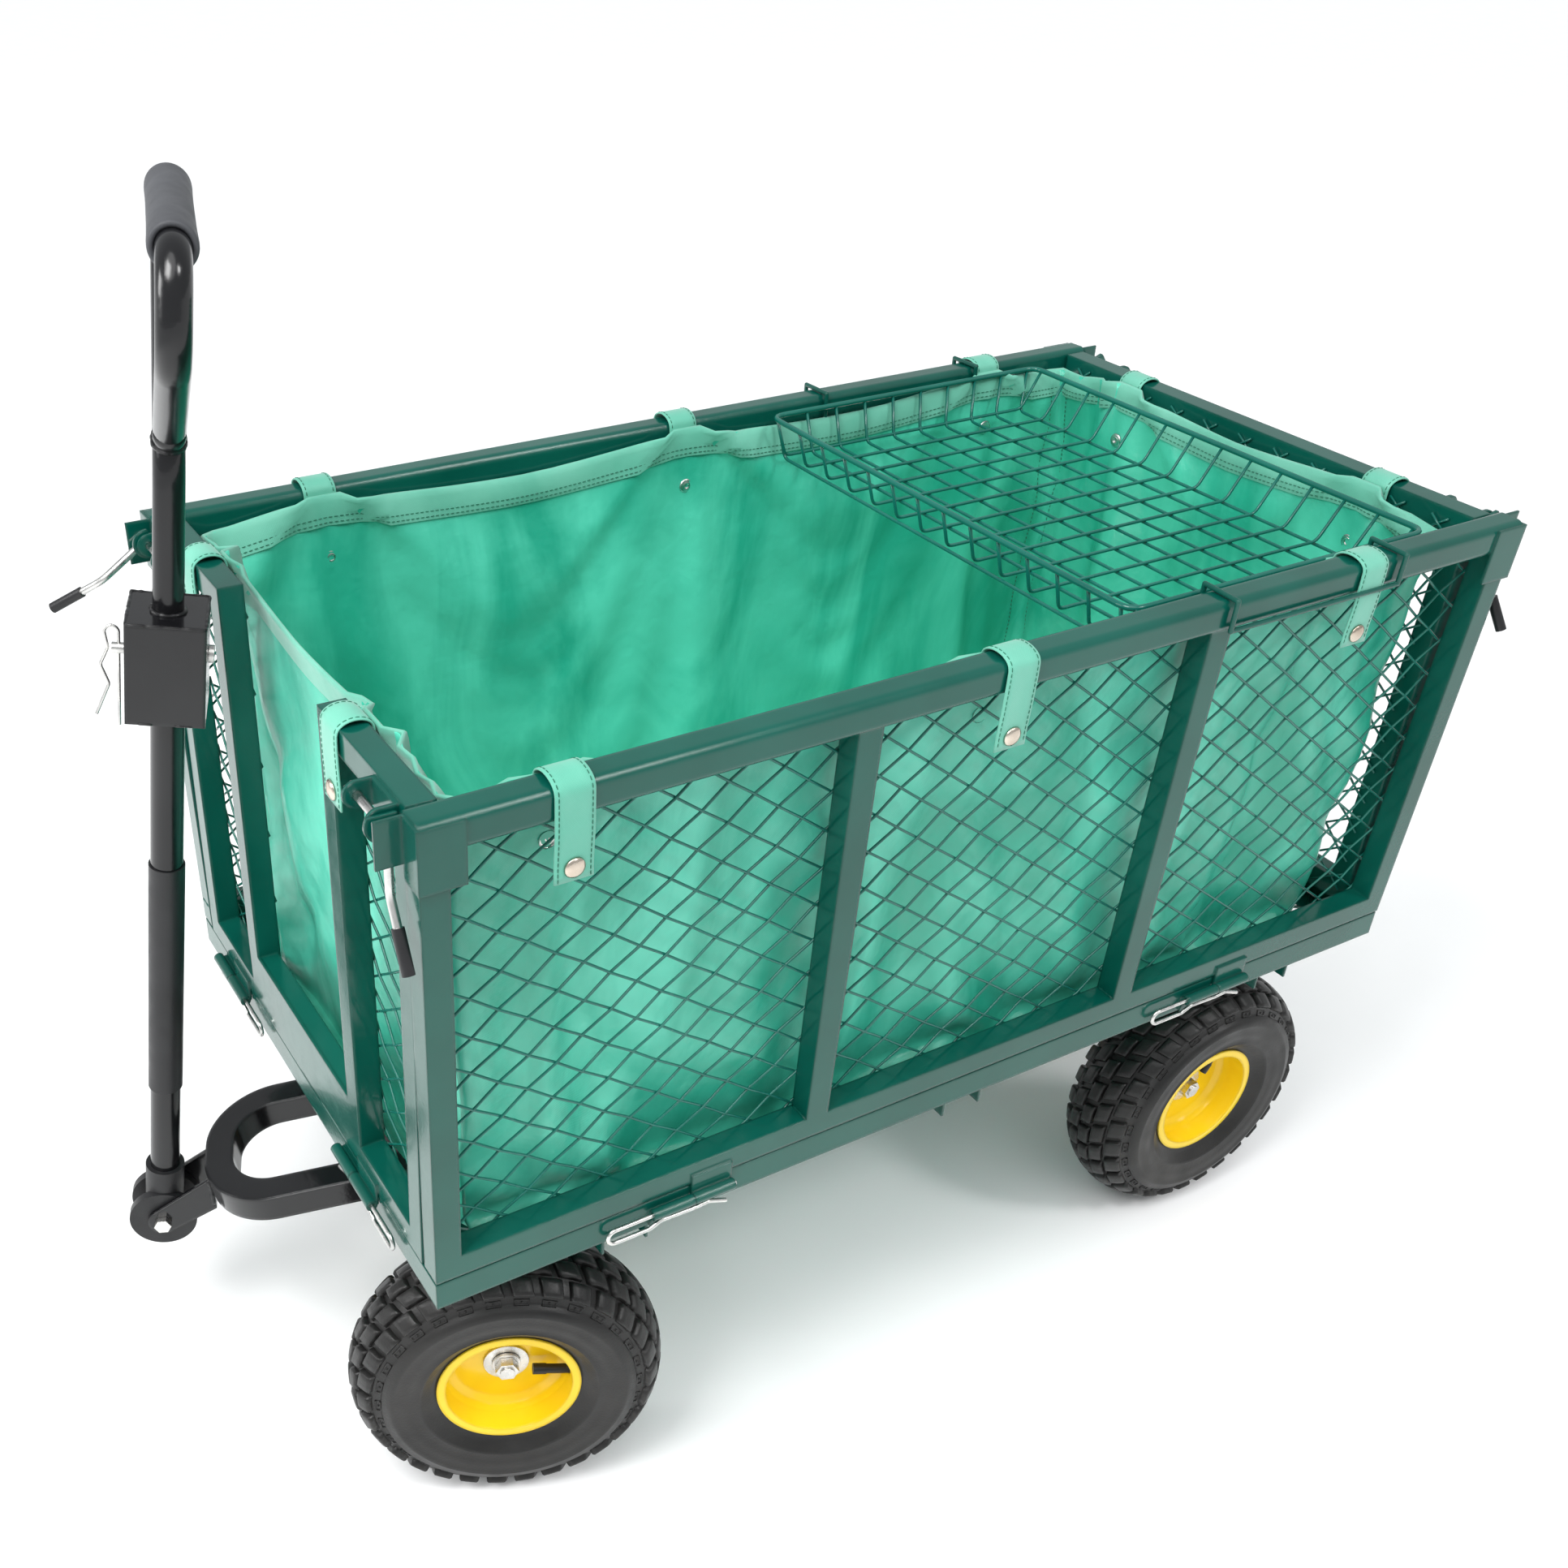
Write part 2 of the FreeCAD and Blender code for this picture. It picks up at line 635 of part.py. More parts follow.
def yoke():
    """Square-tube hairpin sloping down to its nose, with the two clevis ears welded on."""
    half, nose = D["yoke_half"], D["yoke_nose"]
    arms = bent_bar("yoke_bar_body", "XY_Plane",
                    [(12, -half), (nose, -half), (nose, half), (12, half)], [50, 50], side="yoke_bar")
    tilt = FreeCAD.Rotation(Y_AXIS, D["yoke_drop"])
    rise = D["bolt_up"] + 44.5 + (nose + 12.5) * math.tan(math.radians(D["yoke_drop"]))
    place(arms, (0, 0, rise), tilt)
    ears = [block("clevis_back", ("4", "44", "36"), ("bolt_along - 48", "-22", "bolt_up + 12"))]
    for side in (20, -20):
        ears.append(clevis_ear("clevis_ear%+d" % side, side))
    hole = rod("ear_hole", "bolt_bore_r", "60", ("bolt_along", "-30", "bolt_up"), "y")
    welded = fuse("yoke_weld", [arms] + ears, False)
    keep(cut("drawbar_yoke", welded, [hole]), "drawbar_yoke", KINGPIN, STEER)


def touch_point(point, centre, radius, side):
    """Where the line from a point touches a circle, on its upper (+1) or lower (-1) side."""
    away = point - centre
    swing = math.acos(radius / away.Length)
    angle = math.atan2(away.y, away.x) - side * swing
    return centre + V(math.cos(angle), math.sin(angle), 0) * radius


def clevis_ear(name, at_y):
    """Ear plate tapering from the back plate to a round end about the bolt."""
    radius = 13
    centre = V(D["bolt_along"], D["bolt_up"], 0)
    top = V(D["bolt_along"] - 48, D["bolt_up"] + 48, 0)
    low = V(D["bolt_along"] - 48, D["bolt_up"] + 12, 0)
    upper = touch_point(top, centre, radius, 1)
    lower = touch_point(low, centre, radius, -1)
    owner = body(name)
    sketch = sketch_on(owner, "XZ_Plane", name + "_outline")
    sketch.addGeometry(Part.LineSegment(top, upper), False)
    sketch.addGeometry(Part.Arc(upper, centre + V(radius * 0.8, -radius * 0.6, 0), lower), False)
    sketch.addGeometry(Part.LineSegment(lower, low), False)
    sketch.addGeometry(Part.LineSegment(low, top), False)
    doc.recompute()
    pad = owner.newObject("PartDesign::Pad", name + "_pad")
    pad.Profile = sketch
    bind(pad, "Length", "2 * plate")
    pad.Midplane = True
    doc.recompute()
    return place(owner, (0, at_y, 0))


def yoke_bolt():
    at_x, at_z = "bolt_along", "bolt_up"
    shank = rod("yoke_shank", "bolt_r", "56", (at_x, "-32", at_z), "y")
    head = hexagon("yoke_head", 13, "5.5", (at_x, "22.2", at_z), "y")
    nut = hexagon("yoke_nut_block", 13, "6.5", (at_x, "-28.8", at_z), "y")
    hole = rod("yoke_nut_hole", "bolt_bore_r", "12", (at_x, "-30", at_z), "y")
    both = group("yoke_bolt_pair", [fuse("yoke_bolt_solid", [shank, head]), cut("yoke_nut", nut, [hole])])
    keep(both, "yoke_bolt", KINGPIN, STEER)


# ---------------------------------------------------------------- handle
def pivot_hub():
    barrel = rod("hub_barrel", "15", "35.4", ("0", "-17.7", "0"), "y")
    flanges = [rod("hub_flange%+d" % s, "flange_r", "8", ("0", "9.7" if s > 0 else "-17.7", "0"),
                   "y") for s in (1, -1)]
    collar = rod("hub_collar", "collar_r", "52", ("0", "0", "0"))
    bolt_hole = rod("hub_bolt_hole", "bolt_bore_r", "50", ("0", "-25", "0"), "y")
    socket = rod("hub_socket", "pole_r + 0.05", "60", ("0", "0", "14"))
    whole = fuse("hub_whole", [barrel, collar] + flanges)
    keep(cut("pivot_hub", whole, [bolt_hole, socket]), "pivot_hub", BOLT, HANDLE)


def poles():
    wall = rod("lower_pole_out", "pole_r", "558", ("0", "0", "14.2"))
    plug = block("pole_block", ("2 * box_half - 5.6", "2 * box_half - 5.6", "66"),
                 ("2.8 - box_half", "2.8 - box_half", "box_low + 4"))
    hollow = rod("lower_pole_in", "pole_r - 1.5", "560", ("0", "0", "13"))
    cross = rod("lower_pole_pin", "4.1", "70", ("-35", "0", "pin_up"), "x")
    keep(cut("lower_pole", fuse("pole_weld", [wall, plug]), [hollow, cross]), "lower_pole", BOLT, HANDLE)
    skin = rod("sleeve_out", "sleeve_r", "sleeve_high - sleeve_low", ("0", "0", "sleeve_low"))
    inner = rod("sleeve_in", "pole_r + 0.05", "sleeve_high - sleeve_low + 4", ("0", "0", "sleeve_low - 2"))
    keep(cut("pole_sleeve", skin, [inner]), "pole_sleeve", BOLT, HANDLE)


def coupler_box():
    side = "2 * box_half"
    shell = block("box_shell", (side, side, "box_high - box_low"), ("-box_half", "-box_half", "box_low"))
    cavity = block("box_cavity", (side + " - 5", side + " - 5", "box_high - box_low - 3"),
                   ("2.5 - box_half", "2.5 - box_half", "box_low - 0.001"))
    pin = rod("box_pin_hole", "4.1", "80", ("-40", "0", "pin_up"), "x")
    keep(cut("coupler_box", shell, [cavity, pin]), "coupler_box", BOLT, HANDLE)
    shank = rod("pin_shank", "4", "69", ("-30.2", "0", "pin_up"), "x")
    head = rod("pin_head", "6.5", "4", ("-32.4", "0", "pin_up"), "x")
    hole = rod("pin_cotter_hole", "1.33", "20", ("34", "0", "pin_up - 10"))
    keep(cut("coupler_pin", fuse("pin_solid", [shank, head]), [hole]), "coupler_pin", BOLT, HANDLE)


def coupler_clip():
    up = D["pin_up"]
    path = [
        (34, up - 62), (34, up + 17), (45, up + 17), (41.5, up), (47, up - 14), (41, up - 29), (50,
                                                                                                up - 54),
    ]
    clip_body = bent_bar("clip_body", "XZ_Plane", path, [5.2, 5.2, 5, 5, 5], radius="clip_r")
    keep(clip_body, "coupler_clip", BOLT, HANDLE)


def upper_handle():
    """Handle tube: straight shank bent into a closed loop whose cut end meets the shank."""
    start, half, low, top = D["box_high"] + 0.1, D["loop_half"], D["loop_low"], D["loop_top"]
    path = [
        (0, start), (0, D["loop_neck"]), (-half - 4, low), (-half + 8, top), (half - 8, top), (half + 4,
                                                                                               low),
        (14, D["loop_end"]),
    ]
    tube = bent_bar("upper_tube_body", "YZ_Plane", path, [60, 34, 26, 26, 34], radius="grip_tube_r",
                    inner="grip_tube_in")
    facing = HANDLE.multiply(FreeCAD.Rotation(Z_AXIS, D["loop_turn"]))
    keep(tube, "upper_handle_tube", BOLT, facing)
    foam = rod("grip_foam", "grip_r", "2 * grip_half", ("0", "-grip_half", "loop_top"), "y")
    bore = rod("grip_bore", "grip_tube_r + 0.05", "2 * grip_half + 10",
               ("0", "-grip_half - 5", "loop_top"), "y")
    keep(cut("handle_grip", foam, [bore]), "handle_grip", BOLT, facing)


# ---------------------------------------------------------------- panels
def panel_knuckles(tag, side):
    """Panel halves of the two hinges: knuckle, leaf up to the bottom rail, and the bores."""
    solids, bores = [], []
    for number, centre in enumerate(HINGES[side]):
        start = centre + " - knuckle_gap - knuckle_len"
        solids.append(rod("%s_knuckle%d" % (tag, number), "knuckle_r", "knuckle_len", (start, "0", "0"),
                          "x"))
        solids.append(block("%s_leaf%d" % (tag, number), ("knuckle_len", "2", "rail_gap + 9"),
                            (start, "-rail_out", "0")))
        bores.append(rod("%s_bore%d" % (tag, number), "knuckle_bore_r", "knuckle_len + 2",
                         (start + " - 1", "0", "0"), "x"))
    return solids, bores


def side_frame(side):
    tag = side + "_side"
    inner = "-rail_out - post_bar"
    top_low = "panel_tall - top_bar"
    rail = block(tag + "_top_bar", ("tray_len", "top_bar", "top_bar"),
                 ("-tray_len / 2", "-rail_out - top_bar + 1.5", top_low))
    solids = [round_long_edges(tag + "_top_rail", rail, D["top_bar_round"], X_AXIS)]
    solids.append(block(tag + "_low_rail", ("tray_len", "post_bar", "post_bar"),
                        ("-tray_len / 2", inner, "rail_gap")))
    posts = ["-tray_len / 2", "-mid_post - post_bar / 2", "mid_post - post_bar / 2",
             "tray_len / 2 - post_bar"]
    for number, start in enumerate(posts):
        solids.append(block("%s_post%d" % (tag, number),
                            ("post_bar", "post_bar", top_low + " - rail_gap + 2"), (start, inner,
                                                                                    "rail_gap")))
    for number, sign in enumerate((1, -1)):
        # wrap-round corner plate with the keeper tab that stands past the corner
        face_x = "tray_len / 2 - 30" if sign > 0 else "-tray_len / 2"
        end_x = "tray_len / 2" if sign > 0 else "-tray_len / 2 - plate"
        tab_x = "tray_len / 2" if sign > 0 else "-tray_len / 2 - 20"
        solids.append(block("%s_face%d" % (tag, number), ("30", "plate", "46"),
                            (face_x, "-rail_out + 1.5", "panel_tall - 48")))
        solids.append(block("%s_end%d" % (tag, number), ("plate", "22.5", "46"),
                            (end_x, "-rail_out - 19", "panel_tall - 48")))
        solids.append(block("%s_tab%d" % (tag, number), ("20", "plate", "34"),
                            (tab_x, "-rail_out - 19", "panel_tall - 36")))
    knuckles, bores = panel_knuckles(tag, side)
    frame = cut(tag + "_frame", fuse(tag + "_weld", solids + knuckles), bores)
    keep_on_panel(frame, tag + "_frame", side)
    low = D["rail_gap"] + 5
    high = D["panel_tall"] - D["top_bar"] - 0.3
    wide = D["tray_len"] - 24
    keep_on_panel(mesh_feature(tag + "_mesh_sheet", [(-wide / 2, low, wide, high - low)]), tag + "_mesh",
                  side)


def latch_bracket(tag, sign):
    """U bracket on the end panel's top rail with two round-ended ears bored for the lever."""
    base_x = "%d * latch_at - ear_half - ear_thick / 2" % sign
    tall = "2 * ear_r"
    solids = [block("%s_bracket%+d" % (tag, sign), ("2 * ear_half + ear_thick", "ear_thick", tall),
                    (base_x, "-rail_out - 0.5", "latch_up - ear_r"))]
    for number, shift in enumerate(("-1", "1")):
        start = "%d * latch_at + %s * ear_half - ear_thick / 2" % (sign, shift)
        solids.append(block("%s_ear%+d_%d" % (tag, sign, number),
                            ("ear_thick", "latch_out + rail_out", tall),
                            (start, "-rail_out", "latch_up - ear_r")))
        solids.append(rod("%s_ear_end%+d_%d" % (tag, sign, number), "ear_r", "ear_thick",
                          (start, "latch_out", "latch_up"), "x"))
    bore = rod("%s_ear_bore%+d" % (tag, sign), "lever_bore_r", "60",
               ("%d * latch_at - 30" % sign, "latch_out", "latch_up"), "x")
    return solids, bore


def end_post(name, at_x, lean):
    """Upright that leans with the side panels: its foot keeps clear of the tray corner."""
    post = block(name + "_bar", ("post_bar", "post_bar", "end_tall - post_bar - rail_gap + 4"),
                 ("-post_bar / 2", "-rail_out - post_bar", "0"))
    return place(group(name, [post]), (at_x, 0, D["rail_gap"]), FreeCAD.Rotation(Y_AXIS, lean))


def end_frame(side):
    tag = side + "_panel"
    inner = "-rail_out - post_bar"
    high = "end_tall - post_bar"
    solids = [block(tag + "_low_rail", ("end_wide", "post_bar", "post_bar"),
                    ("-end_wide / 2", inner, "rail_gap"))]
    foot = D["end_wide"] / 2 - D["post_bar"] / 2
    for sign in (1, -1):
        solids.append(end_post("%s_post%+d" % (tag, sign), sign * foot, sign * D["side_lean"] * 0.85))
    if side == "front":
        wing = "(end_top_wide / 2 - notch_post + post_bar / 2)"
        for sign, start in ((1, "notch_post - post_bar / 2"), (-1, "-end_top_wide / 2")):
            solids.append(block("%s_wing%+d" % (tag, sign), (wing, "post_bar", "post_bar"),
                                (start, inner, high)))
            solids.append(block("%s_inner_post%+d" % (tag, sign),
                                ("post_bar", "post_bar", high + " - rail_gap"),
                                ("%d * notch_post - post_bar / 2" % sign, inner, "rail_gap")))
        gap = "(2 * notch_post - post_bar)"
        solids.append(block(tag + "_plate", (gap, "plate", "notch_tall - rail_gap"),
                            ("-notch_post + post_bar / 2", "-rail_out - plate", "rail_gap")))
        solids.append(block(tag + "_plate_bar", (gap, "16", "16"),
                            ("-notch_post + post_bar / 2", "-rail_out - 18", "notch_tall - 17")))
    else:
        solids.append(block(tag + "_top_rail", ("end_top_wide", "post_bar", "post_bar"),
                            ("-end_top_wide / 2", inner, high)))
        solids.append(block(tag + "_mid_post", ("post_bar", "post_bar", high + " - rail_gap"),
                            ("-post_bar / 2", inner, "rail_gap")))
    knuckles, bores = panel_knuckles(tag, side)
    for sign in (1, -1):
        bracket, bore = latch_bracket(tag, sign)
        solids += bracket
        bores.append(bore)
    frame = cut(tag + "_frame", fuse(tag + "_weld", solids + knuckles), bores)
    keep_on_panel(frame, tag + "_frame", side)
    low = D["rail_gap"] + 5
    top = D["end_tall"] - 4
    edge = D["end_wide"] / 2 - 6
    if side == "front":
        wing_low = D["notch_post"] - D["post_bar"] / 2 + 6
        patches = [(wing_low, low, edge - wing_low, top - low), (-edge, low, edge - wing_low, top - low)]
    else:
        patches = [(-edge, low, 2 * edge, top - low)]
    keep_on_panel(mesh_feature(tag + "_mesh_sheet", patches), tag + "_mesh", side)


def latch_lever(name, panel, sign, open_angle):
    """Bent rod through both ears, with the cam welded beside the outer ear and a hex nut inside."""
    drop = 88
    path = [(-27, 0), (28, 0), (28, -46), (50, -drop)]
    rod_body = bent_bar(name + "_rod", "XZ_Plane", path, [7, 25], radius="lever_r")
    disc = rod(name + "_cam_disc", "cam_r", "3", ("20", "0", "0"), "x")
    flat = block(name + "_cam_flat", ("5", "30", "14"), ("19", "-15", "7"))
    cam = cut(name + "_cam", disc, [flat])
    nut = hexagon(name + "_nut", 10, "5", ("-25", "0", "0"), "x")
    whole = fuse(name + "_weld", [rod_body, cam, nut])
    direction = V(22, 0, -(drop - 46)).normalize()
    tip = doc.addObject("Part::Cylinder", name + "_tip_skin")
    bind(tip, "Radius", "lever_tip_r")
    tip.Height = 30
    start = V(50, 0, -drop) - direction * 27
    tip.Placement = FreeCAD.Placement(start, FreeCAD.Rotation(Z_AXIS, direction))
    inner = doc.addObject("Part::Cylinder", name + "_tip_bore")
    bind(inner, "Radius", "lever_bore_r")
    inner.Height = 27.05
    inner.Placement = tip.Placement
    base, turn, lean = PANELS[panel]
    frame = FreeCAD.Rotation(Z_AXIS, turn).multiply(FreeCAD.Rotation(X_AXIS, lean))
    at = base + frame.multVec(V(sign * D["latch_at"], D["latch_out"], D["latch_up"]))
    # the lever swings out and up about the rod from hanging straight down
    swing = FreeCAD.Rotation(X_AXIS, open_angle)
    side_turn = FreeCAD.Rotation(Z_AXIS, 0 if sign > 0 else 180)
    rotation = frame.multiply(swing).multiply(side_turn)
    keep(group(name + "_pair", [whole, cut(name + "_tip_solid", tip, [inner])]), name + "_lever", at,
         rotation)


def hinge_pins(side):
    """Two bent-wire pins: a straight leg through the knuckles and a kinked spring leg below."""
    items = []
    facing = FreeCAD.Rotation(Z_AXIS, 180 if side == "front" else 0)
    for number, centre in enumerate(HINGES[side]):
        path = [
            (-38, 0), (74, 0), (74, -13), (38, -13), (28, -8.4), (-2, -9.4), (-14, -8.4), (-30, -15),
        ]
        pin = bent_bar("%s_pin%d" % (side, number), "XZ_Plane", path, [6.4, 6.4, 5, 5, 5, 5],
                       radius="pin_r")
        items.append(place(pin, (0, 0, 0), facing))
        bind(pin, "Placement.Base.x", centre)
    base, turn, _ = PANELS[side]
    keep(group(side + "_pin_pair", items), side + "_hinge_pins", base, FreeCAD.Rotation(Z_AXIS, turn))


# ---------------------------------------------------------------- liner and its straps
def tapered(name, low, high, z_low, z_high):
    """Frustum with rectangular ends; each end is (x from, x to, half width)."""
    wedge = doc.addObject("Part::Wedge", name)
    wedge.Xmin, wedge.Xmax, wedge.Zmin, wedge.Zmax = low[0], low[1], -low[2], low[2]
    wedge.X2min, wedge.X2max, wedge.Z2min, wedge.Z2max = high[0], high[1], -high[2], high[2]
    wedge.Ymin, wedge.Ymax = z_low, z_high
    return place(wedge, (0, 0, 0), FreeCAD.Rotation(X_AXIS, 90))


def liner():
    """Open bag hanging inside the mesh, its back wall a little short of the rear panel."""
    wall, low, high = D["liner_wall"], D["liner_low"], D["liner_high"]
    foot = (D["foot_rear"], D["foot_front"], D["foot_half"])
    rim = (D["brim_rear"], D["brim_front"], D["brim_half"])
    outside = tapered("liner_out", foot, rim, low, high)
    grow = (high + 0.5 - low - wall) / (high - low - wall)
    rim_in = tuple(f + (r - f) * grow for f, r in zip(foot, rim))
    shrink = (wall, -wall, -wall)
    inside = tapered("liner_in", tuple(f + s for f, s in zip(foot, shrink)),
                     tuple(r + s for r, s in zip(rim_in, shrink)),
                     low + wall, high + 0.5)
    keep(cut("liner_bag", outside, [inside]), "liner_bag", (BED_X, 0, 0))


def straps(side, centres, rail_wide, rail_tall, rail_top, rail_outer, tail):
    """Loop straps over a top rail: inner leg, top and a hanging outer tail with its snap button."""
    gap = 0.35
    thick = "strap_thick"
    items = []
    for number, centre in enumerate(centres):
        tag = "%s_strap%d" % (side, number)
        start = "%g - strap_wide / 2" % centre
        outer_y = rail_outer + gap
        inner_y = rail_outer - rail_wide - gap
        top = rail_top + gap
        leg = block(tag + "_leg", ("strap_wide", thick, "%g" % (rail_tall + 8)),
                    (start, "%g - strap_thick" % inner_y, "%g" % (top - rail_tall - 8)))
        over = block(tag + "_over", ("strap_wide", "%g + 2 * strap_thick" % (outer_y - inner_y), thick),
                     (start, "%g - strap_thick" % inner_y, "%g" % top))
        hang = block(tag + "_tail", ("strap_wide", thick, "%g" % tail),
                     (start, "%g" % outer_y, "%g" % (top - tail)))
        items.append(fuse(tag, [leg, over, hang]))
        items.append(rod(tag + "_snap", "6", "2",
                         ("%g" % centre, "%g + strap_thick + 0.02" % outer_y,
                          "%g" % (top - tail + 10)), "y"))
    keep_on_panel(group(side + "_strap_set", items), side + "_straps", side)


# ---------------------------------------------------------------- hanging basket
def lattice(wide, tall, columns, rows, wire):
    """Flat grid of square bars from (0, 0) to (wide, tall)."""
    outer = Part.makePolygon([V(0, 0, 0), V(wide, 0, 0), V(wide, tall, 0), V(0, tall, 0), V(0, 0, 0)])
    wires = [outer]
    step_x = (wide - wire) / columns
    step_y = (tall - wire) / rows
    for i in range(columns):
        for j in range(rows):
            x0, y0 = i * step_x + wire, j * step_y + wire
            x1, y1 = (i + 1) * step_x, (j + 1) * step_y
            wires.append(Part.makePolygon([V(x0, y0, 0), V(x1, y0, 0), V(x1, y1, 0), V(x0, y1, 0),
                                           V(x0, y0, 0)]))
    return Part.makeFace(wires, "Part::FaceMakerCheese").extrude(V(0, 0, wire))


def wall_grid(start, along, up, columns, wire):
    """Grid wall standing on the line start-along, rising by the vector up."""
    wide = along.Length
    tall = up.Length
    sheet = lattice(wide, tall, columns, 1, wire)
    x_dir = FreeCAD.Vector(along).normalize()
    y_dir = FreeCAD.Vector(up).normalize()
    z_dir = x_dir.cross(y_dir)
    matrix = FreeCAD.Matrix(x_dir.x, y_dir.x, z_dir.x, start.x, x_dir.y, y_dir.y, z_dir.y, start.y,
                            x_dir.z, y_dir.z, z_dir.z, start.z, 0, 0, 0, 1)
    return sheet.transformGeometry(matrix)


def basket():
    wire = D["basket_wire"]
    x1, x0, half = D["basket_front"], D["basket_rear"], D["basket_half"]
    floor_z, rim_z = D["basket_floor"], D["basket_rim"]
    fx1, fx0, fhalf = x1 - 10, x0 + 22, half - 12
    floor_grid = lattice(fx1 - fx0, 2 * fhalf, 9, 13, wire)
    floor_grid.translate(V(fx0, -fhalf, floor_z))
    rise = rim_z - floor_z
    front = wall_grid(V(fx1, fhalf, floor_z), V(0, -2 * fhalf, 0), V(x1 - fx1, 0, rise), 13, wire)
    back = wall_grid(V(fx0, -fhalf, floor_z), V(0, 2 * fhalf, 0), V(x0 - fx0, 0, rise), 13, wire)
    left = wall_grid(V(fx0, fhalf, floor_z), V(fx1 - fx0, 0, 0), V(0, half - fhalf, rise), 9, wire)
    right = wall_grid(V(fx1, -fhalf, floor_z), V(fx0 - fx1, 0, 0), V(0, fhalf - half, rise), 9, wire)
    corners = [V(x1, half, rim_z), V(x0, half, rim_z), V(x0, -half, rim_z), V(x1, -half, rim_z)]
    shape = floor_grid.fuse([front, back, left, right] + rim_bars(corners, wire))
    obj = doc.addObject("Part::Feature", "hanging_basket")
    obj.Shape = shape.removeSplitter()
    keep(obj, "hanging_basket", (BED_X, 0, 0))


def bar_between(start, end, radius):
    return Part.makeCylinder(radius, (end - start).Length, start, end - start)


def rim_bars(corners, wire):
    bars = [Part.makeSphere(wire * 0.6, corner) for corner in corners]
    for index, corner in enumerate(corners):
        bars.append(bar_between(corner, corners[(index + 1) % 4], wire * 0.6))
    return bars


def basket_hanger(side):
    """One bent wire: up inside the top rail, over it, along its outside and back over."""
    facing = 1 if side == "left" else -1
    radius = D["basket_wire"] / 2
    x_front, x_rear = -160 * facing, -338 * facing
    inside, outside = -32.6, 0.1
    over = D["panel_tall"] + 0.3 + radius
    leg, drop = over - 25, over - 24
    points = []
    for x in (x_front, x_rear):
        points.append([V(x, inside, leg), V(x, inside, over), V(x, outside, over), V(x, outside, drop)])
    points = points[0] + points[1][::-1]
    bars = [bar_between(start, end, radius) for start, end in zip(points, points[1:])]
    bars += [Part.makeSphere(radius, point) for point in points]
    obj = doc.addObject("Part::Feature", side + "_hanger_wire")
    obj.Shape = bars[0].fuse(bars[1:]).removeSplitter()
    keep_on_panel(obj, side + "_basket_hanger", side)


# ---------------------------------------------------------------- build everything
tray()
floor()
cross_members()
kingpin()
rear_axle()
REAR = (BED_X + D["rear_axle"], 0, 0)
axle_rod("rear_axle_rod", REAR, FreeCAD.Rotation())
axle_nuts("rear_axle_nuts", REAR, FreeCAD.Rotation())
axle_rod("front_axle_rod", KINGPIN, STEER)
axle_nuts("front_axle_nuts", KINGPIN, STEER)
front_axle()
yoke()
yoke_bolt()
pivot_hub()
poles()
coupler_box()
coupler_clip()
upper_handle()
AXLE = V(0, 0, D["tyre_r"])
FRONT_HUB = STEER.multVec(V(0, D["track_half"], 0))
REAR_HUB = V(0, D["track_half"], 0)
wheel("front_left", KINGPIN + FRONT_HUB + AXLE, D["steer"], -7)
wheel("front_right", KINGPIN - FRONT_HUB + AXLE, D["steer"] + 180, 40)
wheel("rear_left", V(*REAR) + REAR_HUB + AXLE, 0, 60)
wheel("rear_right", V(*REAR) - REAR_HUB + AXLE, 180, -75)
for side in ("left", "right"):
    side_frame(side)
for side in ("front", "rear"):
    end_frame(side)
for side in PANELS:
    hinge_pins(side)
latch_lever("front_left_latch", "front", -1, 0)
latch_lever("front_right_latch", "front", 1, 55)
latch_lever("rear_left_latch", "rear", 1, 12)
latch_lever("rear_right_latch", "rear", -1, 20)
liner()
straps("left", [381, 36, -309], 25, 25, 400, -4, 68)
straps("right", [-343, 4, 355], 25, 25, 400, -4, 68)
straps("front", [-122, 160], 22.7, 20, 398, -5.5, 60)
straps("rear", [-145, 145], 22.7, 20, 398, -5.5, 60)
basket()
for side in ("left", "right"):
    basket_hanger(side)
doc.recompute()

# ---------------------------------------------------------------- check and write
for obj in doc.Objects:
    if {"Invalid", "Error"} & set(obj.State):
        raise SystemExit("object in error: %s %s" % (obj.Name, obj.State))
for obj in nodes:
    if obj.Shape.isNull() or not obj.Shape.isValid() or obj.Shape.Volume <= 0:
        raise SystemExit("bad shape: " + obj.Label)
total = FreeCAD.BoundBox()
for obj in nodes:
    total.add(obj.Shape.BoundBox)
    obj.Shape.exportStep("parts/%s.step" % obj.Label)
    print("%-26s solids %2d  volume %9.0f" % (obj.Label, len(obj.Shape.Solids), obj.Shape.Volume))
print("nodes", len(nodes), "bounds", total)
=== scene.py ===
import math
import random
import bpy
from mathutils import Matrix, Vector, noise as fractal


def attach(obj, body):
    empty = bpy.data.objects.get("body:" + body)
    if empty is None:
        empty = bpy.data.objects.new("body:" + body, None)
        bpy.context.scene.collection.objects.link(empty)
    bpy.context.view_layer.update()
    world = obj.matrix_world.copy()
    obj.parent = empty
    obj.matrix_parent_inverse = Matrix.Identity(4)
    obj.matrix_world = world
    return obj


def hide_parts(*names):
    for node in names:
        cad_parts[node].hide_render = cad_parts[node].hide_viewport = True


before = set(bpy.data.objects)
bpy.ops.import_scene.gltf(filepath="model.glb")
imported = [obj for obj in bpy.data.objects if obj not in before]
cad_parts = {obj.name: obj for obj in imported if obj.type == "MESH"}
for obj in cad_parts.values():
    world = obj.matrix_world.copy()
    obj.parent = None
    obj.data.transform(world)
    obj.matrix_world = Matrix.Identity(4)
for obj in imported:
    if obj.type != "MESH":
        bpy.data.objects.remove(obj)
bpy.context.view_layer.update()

# ---------------------------------------------------------------- frames of the moving groups (metres)
BED_X = -0.0492
KINGPIN = Vector((BED_X + 0.324, 0, 0))
STEER = math.radians(-21.3)
HANDLE_BACK = math.radians(7.6)
